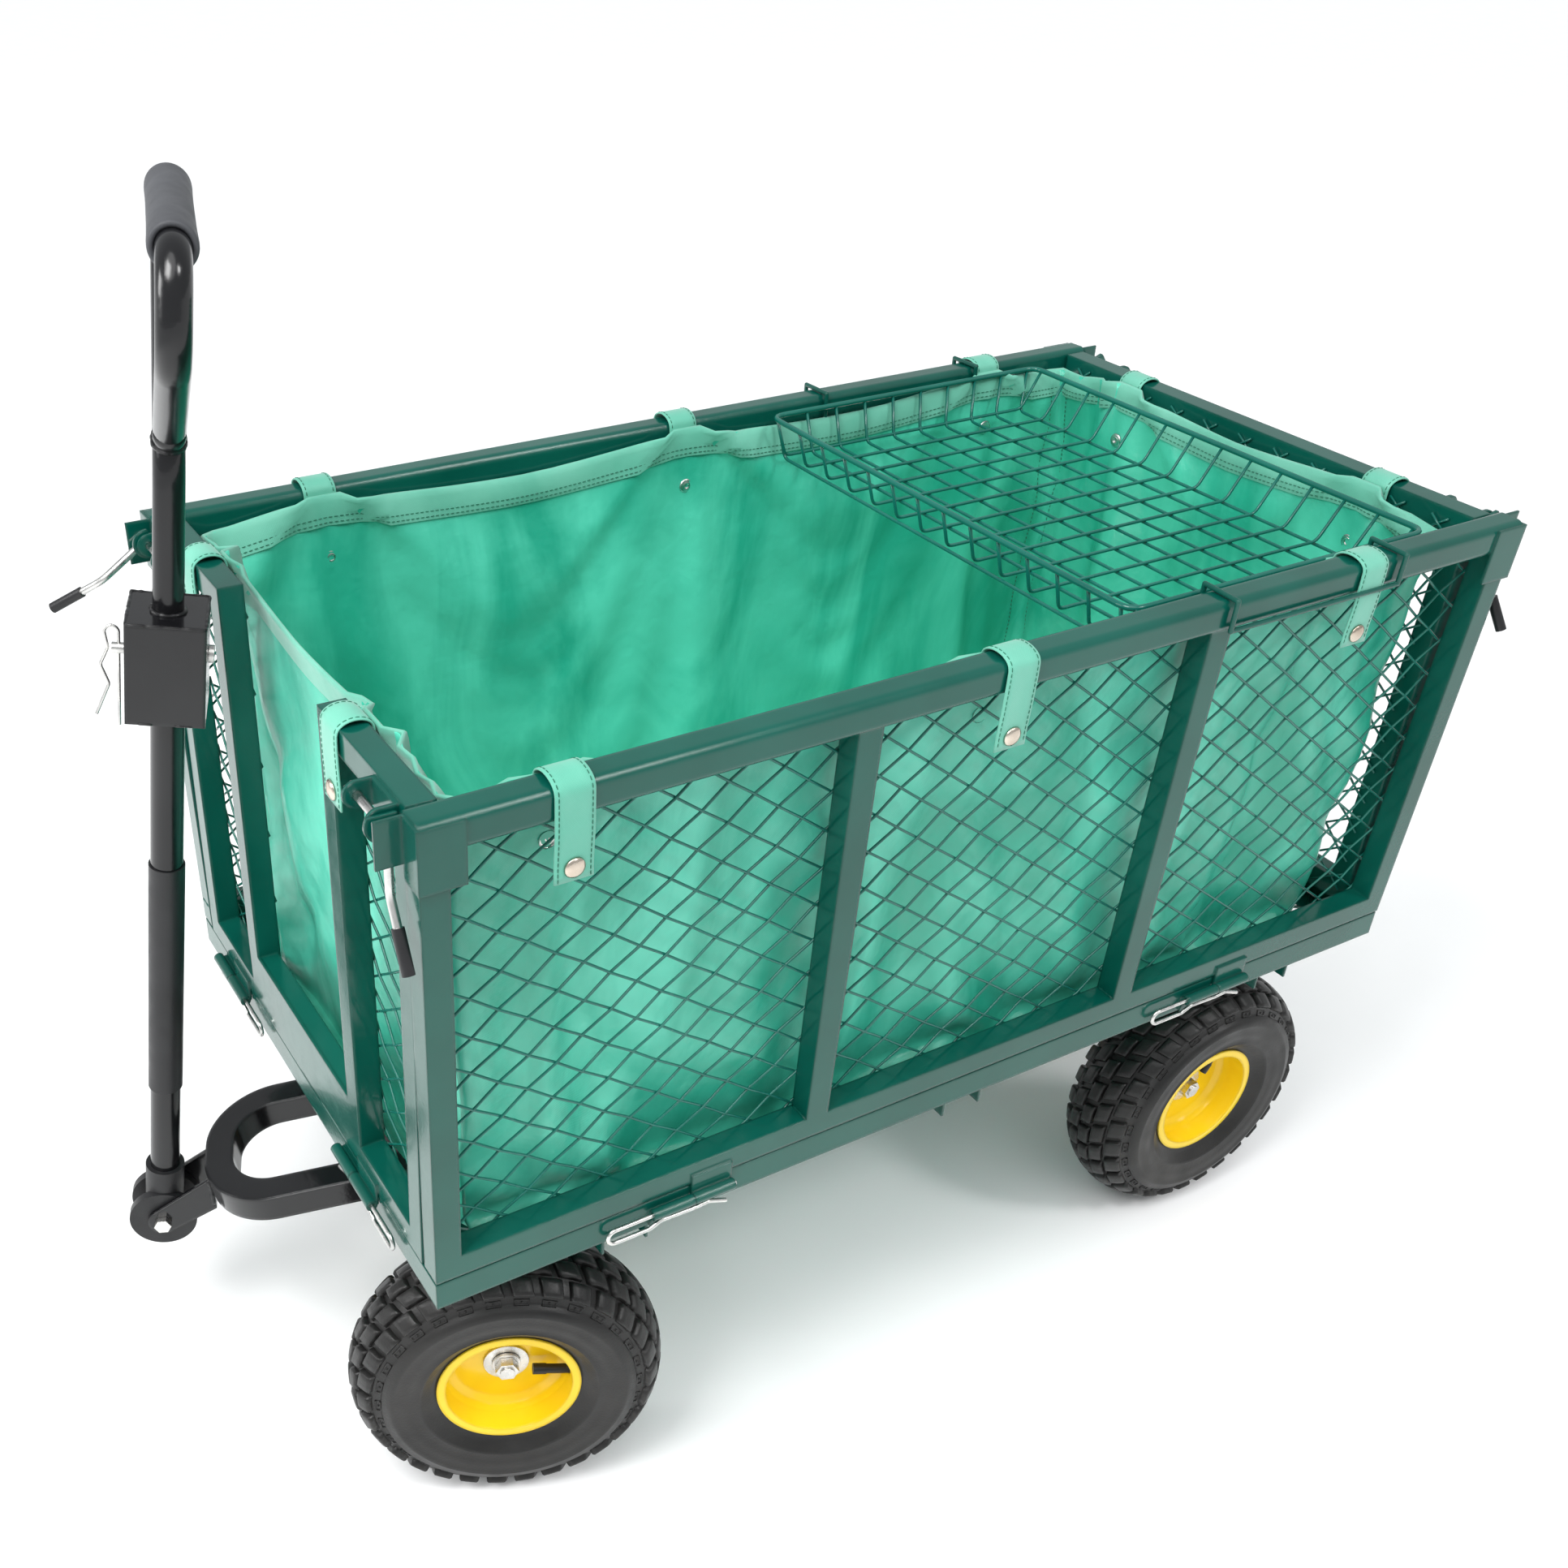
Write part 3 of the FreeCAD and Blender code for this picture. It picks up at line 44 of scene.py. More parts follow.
AXLE_Z = 0.130
TRACK = 0.184
BOLT_ALONG, BOLT_UP = 0.287, 0.159
PANELS = {  # hinge axis centre, turn about Z, lean about the hinge
    "left": ((BED_X, 0.258, 0.334), 0, -1.6),
    "right": ((BED_X, -0.258, 0.334), 180, -1.6),
    "front": ((BED_X + 0.488, 0, 0.334), -90, 0.7),
    "rear": ((BED_X - 0.488, 0, 0.334), 90, 0.7),
}
PANEL_BODY = {"left": "left_side", "right": "right_side", "front": "front_panel", "rear": "rear_panel"}


def turn(axis, degrees):
    return Matrix.Rotation(math.radians(degrees), 4, axis)


def panel_matrix(side):
    base, about_z, lean = PANELS[side]
    return Matrix.Translation(base) @ turn("Z", about_z) @ turn("X", lean)


AXLE_FRAME = Matrix.Translation(KINGPIN) @ Matrix.Rotation(STEER, 4, "Z")
HANDLE_FRAME = (AXLE_FRAME @ Matrix.Translation((BOLT_ALONG, 0, BOLT_UP))
                @ Matrix.Rotation(-HANDLE_BACK, 4, "Y"))


# ---------------------------------------------------------------- materials
def add_node(tree, kind, links=(), **settings):
    """New shader node: keyword names that are inputs set them, the rest are attributes."""
    node = tree.nodes.new(kind)
    for key, value in settings.items():
        label = key.replace("_", " ")
        if label in node.inputs:
            node.inputs[label].default_value = value
        else:
            setattr(node, key, value)
    for socket, source in links:
        tree.links.new(source, node.inputs[socket])
    return node


def new_material(name, **principled):
    material = bpy.data.materials.new(name)
    material.use_nodes = True
    tree = material.node_tree
    shader = tree.nodes["Principled BSDF"]
    for key, value in principled.items():
        shader.inputs[key.replace("_", " ")].default_value = value
    return material, tree, shader


def noise(tree, scale, detail):
    place = add_node(tree, "ShaderNodeTexCoord").outputs["Object"]
    node = add_node(tree, "ShaderNodeTexNoise", [("Vector", place)], Scale=scale, Detail=detail)
    return node.outputs["Fac"]


def ramp(tree, source, stops):
    node = add_node(tree, "ShaderNodeValToRGB", [("Fac", source)])
    for element, (place, colour) in zip(node.color_ramp.elements, stops):
        element.position = place
        element.color = (*colour, 1)
    return node.outputs["Color"]


def grey(value):
    return (value, value, value)


def vary(tree, shader, socket, source, stops):
    tree.links.new(ramp(tree, source, stops), shader.inputs[socket])


def vary_roughness(tree, shader, source, middle, low, high):
    """Roughness drifting between two shares of its middle value."""
    vary(tree, shader, "Roughness", source, [(0.3, grey(middle * low)), (0.7, grey(min(1.0, middle * high)))])


def bump(tree, shader, height, strength, distance, edge=0.0):
    """Fine relief; with an edge radius the sharp edges also catch light as if rounded."""
    links = [("Height", height)]
    if edge:
        bevel = add_node(tree, "ShaderNodeBevel", Radius=edge, samples=4)
        links.append(("Normal", bevel.outputs["Normal"]))
    node = add_node(tree, "ShaderNodeBump", links, Strength=strength, Distance=distance)
    tree.links.new(node.outputs["Normal"], shader.inputs["Normal"])
    return node


def paint(name, dark, light, rough, edge=0.0034):
    """Powder coat: slow tone variation, orange peel, and rounded bright edges."""
    material, tree, shader = new_material(name, Coat_Weight=0.25, Coat_Roughness=0.06,
                                          Specular_IOR_Level=0.35)
    vary(tree, shader, "Base Color", noise(tree, 9, 4), [(0.35, dark), (0.65, light)])
    vary_roughness(tree, shader, noise(tree, 60, 4), rough, 0.8, 1.3)
    bump(tree, shader, noise(tree, 380, 2), 0.10, 0.0006, edge)
    return material


def metal(name, dark, light, rough, edge=0.0006):
    """Plated metal: cloudy plating with small scratches of roughness."""
    material, tree, shader = new_material(name, Metallic=1.0)
    vary(tree, shader, "Base Color", noise(tree, 45, 5), [(0.3, dark), (0.7, light)])
    vary_roughness(tree, shader, noise(tree, 160, 5), rough, 0.7, 1.5)
    bump(tree, shader, noise(tree, 700, 3), 0.15, 0.0004, edge)
    return material


def soft_black(name, dark, light, rough, grain, depth):
    """Moulded rubber or plastic: fine grain, dusty patches."""
    material, tree, shader = new_material(name, Specular_IOR_Level=0.4)
    vary(tree, shader, "Base Color", noise(tree, 14, 6), [(0.3, dark), (0.75, light)])
    vary_roughness(tree, shader, noise(tree, 50, 5), rough, 0.85, 1.2)
    bump(tree, shader, noise(tree, grain, 4), 0.5, depth)
    return material


def plain_weave(tree, pitch):
    """Height of crossing threads, from 0 to 1, running with the UV map whose units are metres."""
    uv = add_node(tree, "ShaderNodeUVMap").outputs["UV"]
    split = add_node(tree, "ShaderNodeSeparateXYZ", [("Vector", uv)])
    threads = []
    for axis in ("X", "Y"):
        scaled = add_node(tree, "ShaderNodeMath", [(0, split.outputs[axis])], operation="MULTIPLY")
        scaled.inputs[1].default_value = 2 * math.pi / pitch
        wave = add_node(tree, "ShaderNodeMath", [(0, scaled.outputs[0])], operation="SINE")
        threads.append(wave.outputs[0])
    woven = add_node(tree, "ShaderNodeMath", [(0, threads[0]), (1, threads[1])], operation="MULTIPLY")
    lift = add_node(tree, "ShaderNodeMapRange", [("Value", woven.outputs[0])],
                    From_Min=-1, From_Max=1, To_Min=0.0, To_Max=1.0)
    return lift.outputs[0]


def cloth(name, dark, light, rough, pitch, fold=1.0, sheen=0.0):
    """Coated plain weave with slanting creases, its base colour streaked light and dark on the same slant as
    a painted sheen and painted shade of folds.
    """
    material, tree, shader = new_material(name, Specular_IOR_Level=0.8, Sheen_Weight=sheen)
    weave = plain_weave(tree, pitch)
    place = add_node(tree, "ShaderNodeTexCoord").outputs["Object"]
    slanted = add_node(tree, "ShaderNodeMapping", [("Vector", place)], Rotation=(0.5, 0.65, 0),
                       Scale=(1.0, 1.0, 0.4)).outputs["Vector"]
    # painted light: slanting light and dark streaks in the base colour stand in for the sheen on fold ridges
    # and the shade in their valleys
    fold_sheen_streaks = add_node(tree, "ShaderNodeTexNoise", [("Vector", slanted)], Scale=9.0, Detail=5.0, Distortion=1.1)
    mixed = add_node(tree, "ShaderNodeMix", data_type="RGBA", blend_type="MULTIPLY")
    mixed.inputs["Factor"].default_value = 1.0
    tree.links.new(ramp(tree, fold_sheen_streaks.outputs["Fac"], [(0.38, dark), (0.62, light)]), mixed.inputs[6])
    tree.links.new(ramp(tree, weave, [(0.0, grey(0.82)), (1.0, grey(1.0))]), mixed.inputs[7])
    tree.links.new(mixed.outputs[2], shader.inputs["Base Color"])
    vary_roughness(tree, shader, noise(tree, 30, 5), rough, 0.8, 1.3)
    ridges = add_node(tree, "ShaderNodeTexNoise", [("Vector", slanted)], noise_type="RIDGED_MULTIFRACTAL",
                      Scale=7.5, Detail=3.0)
    folds = add_node(tree, "ShaderNodeBump", [("Height", ridges.outputs["Fac"])], Strength=0.9 * fold,
                     Distance=0.020)
    creases = add_node(tree, "ShaderNodeBump",
                       [("Height", noise(tree, 22, 4)), ("Normal", folds.outputs["Normal"])],
                       Strength=0.35 * fold, Distance=0.008)
    fine = bump(tree, shader, weave, 0.35, 0.0003)
    tree.links.new(creases.outputs["Normal"], fine.inputs["Normal"])
    return material


GREEN = paint("green_powder_coat", (0.001, 0.068, 0.050), (0.003, 0.090, 0.067), 0.16)
WIRE_GREEN = paint("green_wire_coat", (0.003, 0.105, 0.080), (0.006, 0.145, 0.110), 0.22, edge=0.0)
BLACK = paint("black_powder_coat", (0.004, 0.004, 0.005), (0.009, 0.009, 0.010), 0.14, edge=0.0045)
YELLOW = paint("yellow_paint", (0.90, 0.60, 0.010), (0.93, 0.66, 0.016), 0.2, edge=0.004)
ZINC = metal("zinc_plate", (0.50, 0.50, 0.49), (0.78, 0.77, 0.74), 0.26)
SNAP = metal("nickel_snap", (0.52, 0.42, 0.33), (0.80, 0.72, 0.62), 0.2, 0.0)
PLASTIC = soft_black("black_plastic", (0.010, 0.010, 0.011), (0.020, 0.020, 0.022), 0.42, 900, 0.0003)
FOAM = soft_black("foam_grip", (0.050, 0.052, 0.058), (0.075, 0.078, 0.086), 0.52, 1500, 0.0005)
TYRE = soft_black("tyre_rubber", (0.006, 0.006, 0.006), (0.018, 0.017, 0.016), 0.42, 500, 0.0004)
# the dark and light colours of the three cloths below are the ends of their painted fold shade and painted
# fold sheen
LINER = cloth("liner_coated", (0.028, 0.46, 0.310), (0.110, 0.72, 0.520), 0.20, 0.0011)
HEM = cloth("liner_woven", (0.10, 0.46, 0.33), (0.15, 0.54, 0.40), 0.62, 0.0013, 0.6, sheen=0.3)
THREAD = cloth("stitch_thread", (0.008, 0.14, 0.085), (0.015, 0.20, 0.12), 0.7, 0.0006, 0.3)
FLOOR = soft_black("studio_floor", (0.955, 0.955, 0.955), (0.975, 0.975, 0.975), 0.85, 40, 0.0001)

CORNERS = ("front_left", "front_right", "rear_left", "rear_right")
CAD_MATERIALS = {
    GREEN: ["bed_tray", "bed_floor_mesh", "bed_cross_members", "rear_axle_brackets", "front_axle_beam",
            "left_side_frame", "right_side_frame", "front_panel_frame", "rear_panel_frame",
            "left_basket_hanger", "right_basket_hanger"],
    BLACK: ["drawbar_yoke", "lower_pole", "coupler_box", "upper_handle_tube"],
    PLASTIC: ["pivot_hub", "pole_sleeve"],
    ZINC: ["kingpin_bolt", "rear_axle_rod", "rear_axle_nuts", "front_axle_rod", "front_axle_nuts",
           "yoke_bolt", "coupler_pin", "coupler_clip"]
    + [side + "_hinge_pins" for side in PANELS] + [corner + "_hub" for corner in CORNERS],
    YELLOW: [corner + "_rim" for corner in CORNERS],
    TYRE: [corner + "_inner_tube" for corner in CORNERS],
}


def paint_node(node, materials):
    node.data.materials.clear()
    for material in materials:
        node.data.materials.append(material)


for material, names in CAD_MATERIALS.items():
    for name in names:
        paint_node(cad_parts[name], [material])


# ---------------------------------------------------------------- mesh helpers
def set_uvs(mesh, uvs):
    layer = mesh.uv_layers.new(name="UVMap")
    for polygon, uv in zip(mesh.polygons, uvs):
        for corner, value in zip(polygon.loop_indices, uv):
            layer.data[corner].uv = value


class Shape:
    """Vertices, faces and UVs gathered in a local frame, made into one piece of one material."""

    def __init__(self):
        self.points, self.faces, self.uvs = [], [], []

    def add(self, points, faces, uvs=()):
        start = len(self.points)
        self.points += [Vector(p) for p in points]
        self.faces += [[start + i for i in face] for face in faces]
        self.uvs += uvs

    def make(self, name, body, material, matrix=None, replaces=()):
        mesh = bpy.data.meshes.new(name)
        where = matrix or Matrix.Identity(4)
        mesh.from_pydata([tuple(where @ p) for p in self.points], [], self.faces)
        mesh.materials.append(material)
        mesh.polygons.foreach_set("use_smooth", [True] * len(self.faces))
        if self.uvs:
            set_uvs(mesh, self.uvs)
        mesh.validate()
        obj = bpy.data.objects.new(name, mesh)
        bpy.context.scene.collection.objects.link(obj)
        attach(obj, body)
        for node_name in replaces:
            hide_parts(node_name)
        return obj


def tube(shape, path, radius, sides, closed=False):
    """Round bar along a path, open ends capped, with a frame carried from point to point."""
    path = [Vector(p) for p in path]
    count = len(path)
    across = None
    rings = []
    for i, point in enumerate(path):
        if closed:
            ahead = (path[(i + 1) % count] - path[i - 1]).normalized()
        else:
            ahead = (path[min(i + 1, count - 1)] - path[max(i - 1, 0)]).normalized()
        if across is None:
            across = ahead.orthogonal().normalized()
        across = (across - ahead * across.dot(ahead)).normalized()
        other = ahead.cross(across)
        thick = radius[i] if isinstance(radius, (list, tuple)) else radius
        rings.append([point + (across * math.cos(a) + other * math.sin(a)) * thick
                      for a in (2 * math.pi * k / sides for k in range(sides))])
    points = [p for ring in rings for p in ring]
    faces = []
    for i in range(count if closed else count - 1):
        j = (i + 1) % count
        for k in range(sides):
            l = (k + 1) % sides
            faces.append([i * sides + k, i * sides + l, j * sides + l, j * sides + k])
    if not closed:
        faces.append(list(range(sides))[::-1])
        faces.append([(count - 1) * sides + k for k in range(sides)])
    shape.add(points, faces)


def rounded(path, radius, steps=5):
    """Path with its corners replaced by short arcs."""
    path = [Vector(p) for p in path]
    result = [path[0]]
    for before, corner, after in zip(path, path[1:], path[2:]):
        reach = min(radius, (before - corner).length * 0.49, (after - corner).length * 0.49)
        first = corner + (before - corner).normalized() * reach
        last = corner + (after - corner).normalized() * reach
        for k in range(steps + 1):
            s = k / steps
            result.append(first * (1 - s) ** 2 + corner * 2 * s * (1 - s) + last * s ** 2)
    result.append(path[-1])
    return result


def lathe(shape, profile, segments, matrix=None, closed=True):
    """Turn (radius, along) points about the local Y axis."""
    where = matrix or Matrix.Identity(4)
    points = []
    for radius, along in profile:
        for k in range(segments):
            a = 2 * math.pi * k / segments
            points.append(where @ Vector((radius * math.cos(a), along, radius * math.sin(a))))
    faces = []
    rows = len(profile)
    for i in range(rows if closed else rows - 1):
        j = (i + 1) % rows
        for k in range(segments):
            l = (k + 1) % segments
            faces.append([i * segments + k, j * segments + k, j * segments + l, i * segments + l])
    shape.add(points, faces)


# ---------------------------------------------------------------- mesh panels of crimped wire
CELL_W, CELL_H, WIRE, CRIMP = 0.042, 0.032, 0.0011, 0.0009
MESH_PLANE = -0.0273
SIDE_SPAN, END_SPAN, NOTCH = 0.470, 0.222, 0.105
MESH_FOOT, SIDE_MESH_TOP, END_MESH_TOP = 0.017, 0.376, 0.390


def wire_mesh(shape, x0, x1, z1):
    """Two families of diagonal wires in the panel's plane, passing over and under each other."""
    z0 = MESH_FOOT
    step = CELL_W / 4
    for family in (1, -1):
        low = min(x0 / CELL_W + family * z0 / CELL_H, x0 / CELL_W + family * z1 / CELL_H)
        high = max(x1 / CELL_W + family * z0 / CELL_H, x1 / CELL_W + family * z1 / CELL_H)
        for k in range(math.ceil(low), math.floor(high) + 1):
            # the wire lies on x / CELL_W + family * z / CELL_H = k, sampled at each quarter cell of x
            start_x = max(x0, min((k - family * z / CELL_H) * CELL_W for z in (z0, z1)))
            end_x = min(x1, max((k - family * z / CELL_H) * CELL_W for z in (z0, z1)))
            if end_x - start_x < 0.004:
                continue
            xs = [start_x]
            n = math.ceil(start_x / step + 0.3)
            while n * step < end_x - 0.003:
                xs.append(n * step)
                n += 1
            xs.append(end_x)
            path = []
            for x in xs:
                z = (k - x / CELL_W) * CELL_H * family
                phase = 2 * math.pi * (x / CELL_W) - math.pi * k
                path.append(Vector((x, MESH_PLANE + family * CRIMP * math.cos(phase), z)))
            tube(shape, path, WIRE, 5)


def mesh_panel(side, spans, top, replaced):
    shape = Shape()
    for x0, x1 in spans:
        wire_mesh(shape, x0, x1, top)
    shape.make(side + "_wire_mesh", PANEL_BODY[side], WIRE_GREEN, panel_matrix(side), replaces=[replaced])


mesh_panel("left", [(-SIDE_SPAN, SIDE_SPAN)], SIDE_MESH_TOP, "left_side_mesh")
mesh_panel("right", [(-SIDE_SPAN, SIDE_SPAN)], SIDE_MESH_TOP, "right_side_mesh")
mesh_panel("front", [(NOTCH, END_SPAN), (-END_SPAN, -NOTCH)], END_MESH_TOP, "front_panel_mesh")
mesh_panel("rear", [(-END_SPAN, END_SPAN)], END_MESH_TOP, "rear_panel_mesh")


# ---------------------------------------------------------------- hanging wire basket
def basket():
    shape = Shape()
    x_front, x_rear, half = BED_X - 0.095, BED_X - 0.410, 0.231
    floor_front, floor_rear, floor_half = x_front - 0.010, x_rear + 0.022, half - 0.012
    floor_z, rim_z = 0.690, 0.727
    rim_r, wire_r, bend, columns, rows = 0.0025, 0.0015, 0.006, 9, 13
    rim = [(x_front, half, rim_z), (x_rear, half, rim_z), (x_rear, -half, rim_z), (x_front, -half, rim_z)]
    looped = rounded(rim + [rim[0]], 0.014)
    corner = rounded([rim[3], rim[0], rim[1]], 0.014)[1:-1]
    tube(shape, looped[1:-1] + corner, rim_r, 10, closed=True)
    for i in range(columns + 1):
        s = i / columns
        floor_x = floor_rear + (floor_front - floor_rear) * s
        rim_x = x_rear + 0.010 + (x_front - x_rear - 0.016) * s
        tube(shape, rounded([(rim_x, half, rim_z), (floor_x, floor_half, floor_z),
                             (floor_x, -floor_half, floor_z), (rim_x, -half, rim_z)], bend, 4), wire_r, 6)
    over = floor_z + 0.0028
    for j in range(rows + 1):
        s = j / rows
        floor_y = -floor_half + 2 * floor_half * s
        rim_y = -half + 0.010 + (2 * half - 0.020) * s
        tube(shape, rounded([(x_rear, rim_y, rim_z), (floor_rear, floor_y, over),
                             (floor_front, floor_y, over), (x_front, rim_y, rim_z)], bend, 4), wire_r, 6)
    shape.make("wire_basket", "basket", WIRE_GREEN, replaces=["hanging_basket"])


basket()

# ---------------------------------------------------------------- wheels
TYRE_R, CROWN_R = 0.130, 0.0546
CROWN_ARC = math.radians(42)
GROOVE = 0.0046  # depth of the tread
BEAD_R = 0.0546  # where the tyre meets the rim
SIDEWALL = [(0.0585, 0.0300), (0.061, 0.0300), (0.066, 0.0345), (0.072, 0.0385), (0.0735, 0.0400),
            (0.0750, 0.0392), (0.082, 0.0412), (0.088, 0.0418), (0.094, 0.0416), (0.0965, 0.0424),
            (0.0985, 0.0410), (0.104, 0.0395)]
INSIDE = [(0.062, -0.0222), (0.090, -0.0350), (0.112, -0.0295), (0.1218, 0), (0.112, 0.0295), (0.090, 0.0350),
          (0.062, 0.0222)]


def tyre_skin(u, drop=0.0):
    """(radius, across) on the tyre's outer skin, u metres from the crown along it."""
    side = 1 if u >= 0 else -1
    u = abs(u)
    bend = u / CROWN_R
    if bend <= CROWN_ARC:
        radius = TYRE_R - CROWN_R + (CROWN_R - drop) * math.cos(bend)
        across = (CROWN_R - drop) * math.sin(bend)
    else:
        past = u - CROWN_ARC * CROWN_R
        edge_r = TYRE_R - CROWN_R + CROWN_R * math.cos(CROWN_ARC)
        edge_a = CROWN_R * math.sin(CROWN_ARC)
        radius = edge_r - past * 0.93 - drop * 0.55
        across = edge_a + past * 0.36 - drop * 0.8
    return radius, side * across


def tread_block(shape, u0, u1, a0, a1, skew):
    """Raised block between two stations u and two angles, its top edge chamfered."""
    across, along = 4, 3

    def ring_point(s, t, drop, inset):
        u = u0 + (u1 - u0) * (inset + (1 - 2 * inset) * s)
        a = a0 + (a1 - a0) * (inset + (1 - 2 * inset) * t) + skew * (s - 0.5)
        radius, y = tyre_skin(u, drop)
        return Vector((radius * math.cos(a), y, radius * math.sin(a)))

    edge = [(k / across, 0) for k in range(across)] + [(1, k / along) for k in range(along)]
    edge += [(1 - k / across, 1) for k in range(across)] + [(0, 1 - k / along) for k in range(along)]
    points = [ring_point(s, t, GROOVE, -0.05) for s, t in edge]
    points += [ring_point(s, t, 0.0009, 0.0) for s, t in edge]
    points += [ring_point(s, t, 0.0, 0.07) for s, t in edge]
    ring = len(edge)
    faces = []
    for level in (0, 1):
        for k in range(ring):
            l = (k + 1) % ring
            faces.append([level * ring + k, level * ring + l, (level + 1) * ring + l, (level + 1) * ring + k])
    inner = {}
    for i in range(across + 1):
        for j in range(along + 1):
            if 0 < i < across and 0 < j < along:
                inner[i, j] = len(points)
                points.append(ring_point(i / across, j / along, 0.0, 0.07))
            else:
                where = min(range(ring),
                            key=lambda q: abs(edge[q][0] - i / across) + abs(edge[q][1] - j / along))
                inner[i, j] = 2 * ring + where
    for i in range(across):
        for j in range(along):
            faces.append([inner[i, j], inner[i + 1, j], inner[i + 1, j + 1], inner[i, j + 1]])
    shape.add(points, faces)


def sidewall_pad(shape, sign, near, far, a0, a1):
    """Thin window-shaped rib on the upper sidewall, with a small stud in its middle."""
    def skin(u, a, rise):
        radius, y = tyre_skin(sign * u, GROOVE)
        radius += rise * 0.35
        return Vector((radius * math.cos(a), y + sign * rise, radius * math.sin(a)))

    rib, sunk, proud, stud_r, pad_r = 0.0011, -0.0006, 0.0007, 0.0009, 0.108
    lean = rib / pad_r
    outer = [(near, a0), (near, a1), (far, a1), (far, a0)]
    inner = [(near + rib, a0 + lean), (near + rib, a1 - lean), (far - rib, a1 - lean), (far - rib, a0 + lean)]
    points = [skin(u, a, sunk) for u, a in outer]
    points += [skin(u, a, proud) for u, a in outer + inner]
    points += [skin(u, a, sunk) for u, a in inner]
    shape.add(points, [[r * 4 + k, r * 4 + (k + 1) % 4, (r + 1) * 4 + (k + 1) % 4, (r + 1) * 4 + k]
                       for r in range(3) for k in range(4)])
    middle_u, middle_a = (near + far) / 2, (a0 + a1) / 2
    ring = [(stud_r * math.cos(t), stud_r * math.sin(t)) for t in (math.pi * k / 3 for k in range(6))]
    studs = [skin(middle_u + du, middle_a + da / pad_r, rise) for rise in (sunk, 0.0008) for du, da in ring]
    sides = [[k, (k + 1) % 6, 6 + (k + 1) % 6, 6 + k] for k in range(6)]
    shape.add(studs, sides + [[6 + k for k in range(6)]])


def tyre(name, matrix):
    shape = Shape()
    crown = [tyre_skin(0.050 - 0.0025 * k, GROOVE) for k in range(41)]
    profile = [(BEAD_R, 0.0212), (BEAD_R, 0.0286)] + SIDEWALL + crown
    profile += [(radius, -across) for radius, across in SIDEWALL[::-1]]
    lathe(shape, profile + [(BEAD_R, -0.0286), (BEAD_R, -0.0212)] + INSIDE, 96)
    count = 30
    pitch = 2 * math.pi / count
    for k in range(count):
        a = k * pitch
        tread_block(shape, -0.0062, 0.0062, a + 0.08 * pitch, a + 0.80 * pitch, 0.03)
        for sign in (1, -1):
            shift = 0.5 * pitch if sign > 0 else 0.45 * pitch
            tread_block(shape, sign * 0.0092, sign * 0.0225, a + shift, a + shift + 0.72 * pitch, sign * 0.05)
            tread_block(shape, sign * 0.0258, sign * 0.0415, a + 0.06 * pitch, a + 0.74 * pitch, sign * 0.03)
            for near, far in ((0.0445, 0.0500), (0.0515, 0.0570)):
                sidewall_pad(shape, sign, near, far, a + 0.14 * pitch, a + 0.68 * pitch)
    shape.make(name + "_treaded_tyre", name + "_wheel", TYRE, matrix, replaces=[name + "_tyre"])


def wheel_matrix(centre, about_z, spin):
    return Matrix.Translation(centre) @ turn("Z", about_z) @ turn("Y", spin)


ACROSS = Matrix.Rotation(STEER, 3, "Z") @ Vector((0, 1, 0))
WHEELS = {
    "front_left": (KINGPIN + ACROSS * TRACK, math.degrees(STEER), -7),
    "front_right": (KINGPIN - ACROSS * TRACK, math.degrees(STEER) + 180, 40),
    "rear_left": (Vector((BED_X - 0.363, TRACK, 0)), 0, 60),
    "rear_right": (Vector((BED_X - 0.363, -TRACK, 0)), 180, -75),
}
for name, (centre, about_z, spin) in WHEELS.items():
    tyre(name, wheel_matrix(centre + Vector((0, 0, AXLE_Z)), about_z, spin))


# ---------------------------------------------------------------- liner bag
FOOT_FRONT, FOOT_REAR, FOOT_HALF = 0.449, -0.429, 0.227
RIM_FRONT, RIM_REAR, RIM_HALF = 0.4515, -0.4510, 0.2372
LINER_LOW, LINER_HIGH = 0.3265, 0.7285
GRID = 0.0135  # side of one cell of cloth
FREE_RIM, HELD_RADIUS = 0.35, 0.020  # pin weight away from the straps, and how near a strap holds fast
SETTLE_FRAMES = 34
STRAPS = {  # centres along each panel's own x
    "left": (0.381, 0.036, -0.309),
    "right": (-0.343, 0.004, 0.355),
    "front": (-0.122, 0.160),
    "rear": (-0.145, 0.145),
}


def ring_corners(share):
    front = FOOT_FRONT + (RIM_FRONT - FOOT_FRONT) * share
    rear = FOOT_REAR + (RIM_REAR - FOOT_REAR) * share
    half = FOOT_HALF + (RIM_HALF - FOOT_HALF) * share
    return front, rear, half


def hold_points():
    """Positions round the rim, in the bed's frame, where a strap carries the bag."""
    spots = [(centre, RIM_HALF) for centre in STRAPS["left"]]
    spots += [(-centre, -RIM_HALF) for centre in STRAPS["right"]]
    spots += [(RIM_FRONT, -centre) for centre in STRAPS["front"]]
    spots += [(RIM_REAR, centre) for centre in STRAPS["rear"]]
    return spots


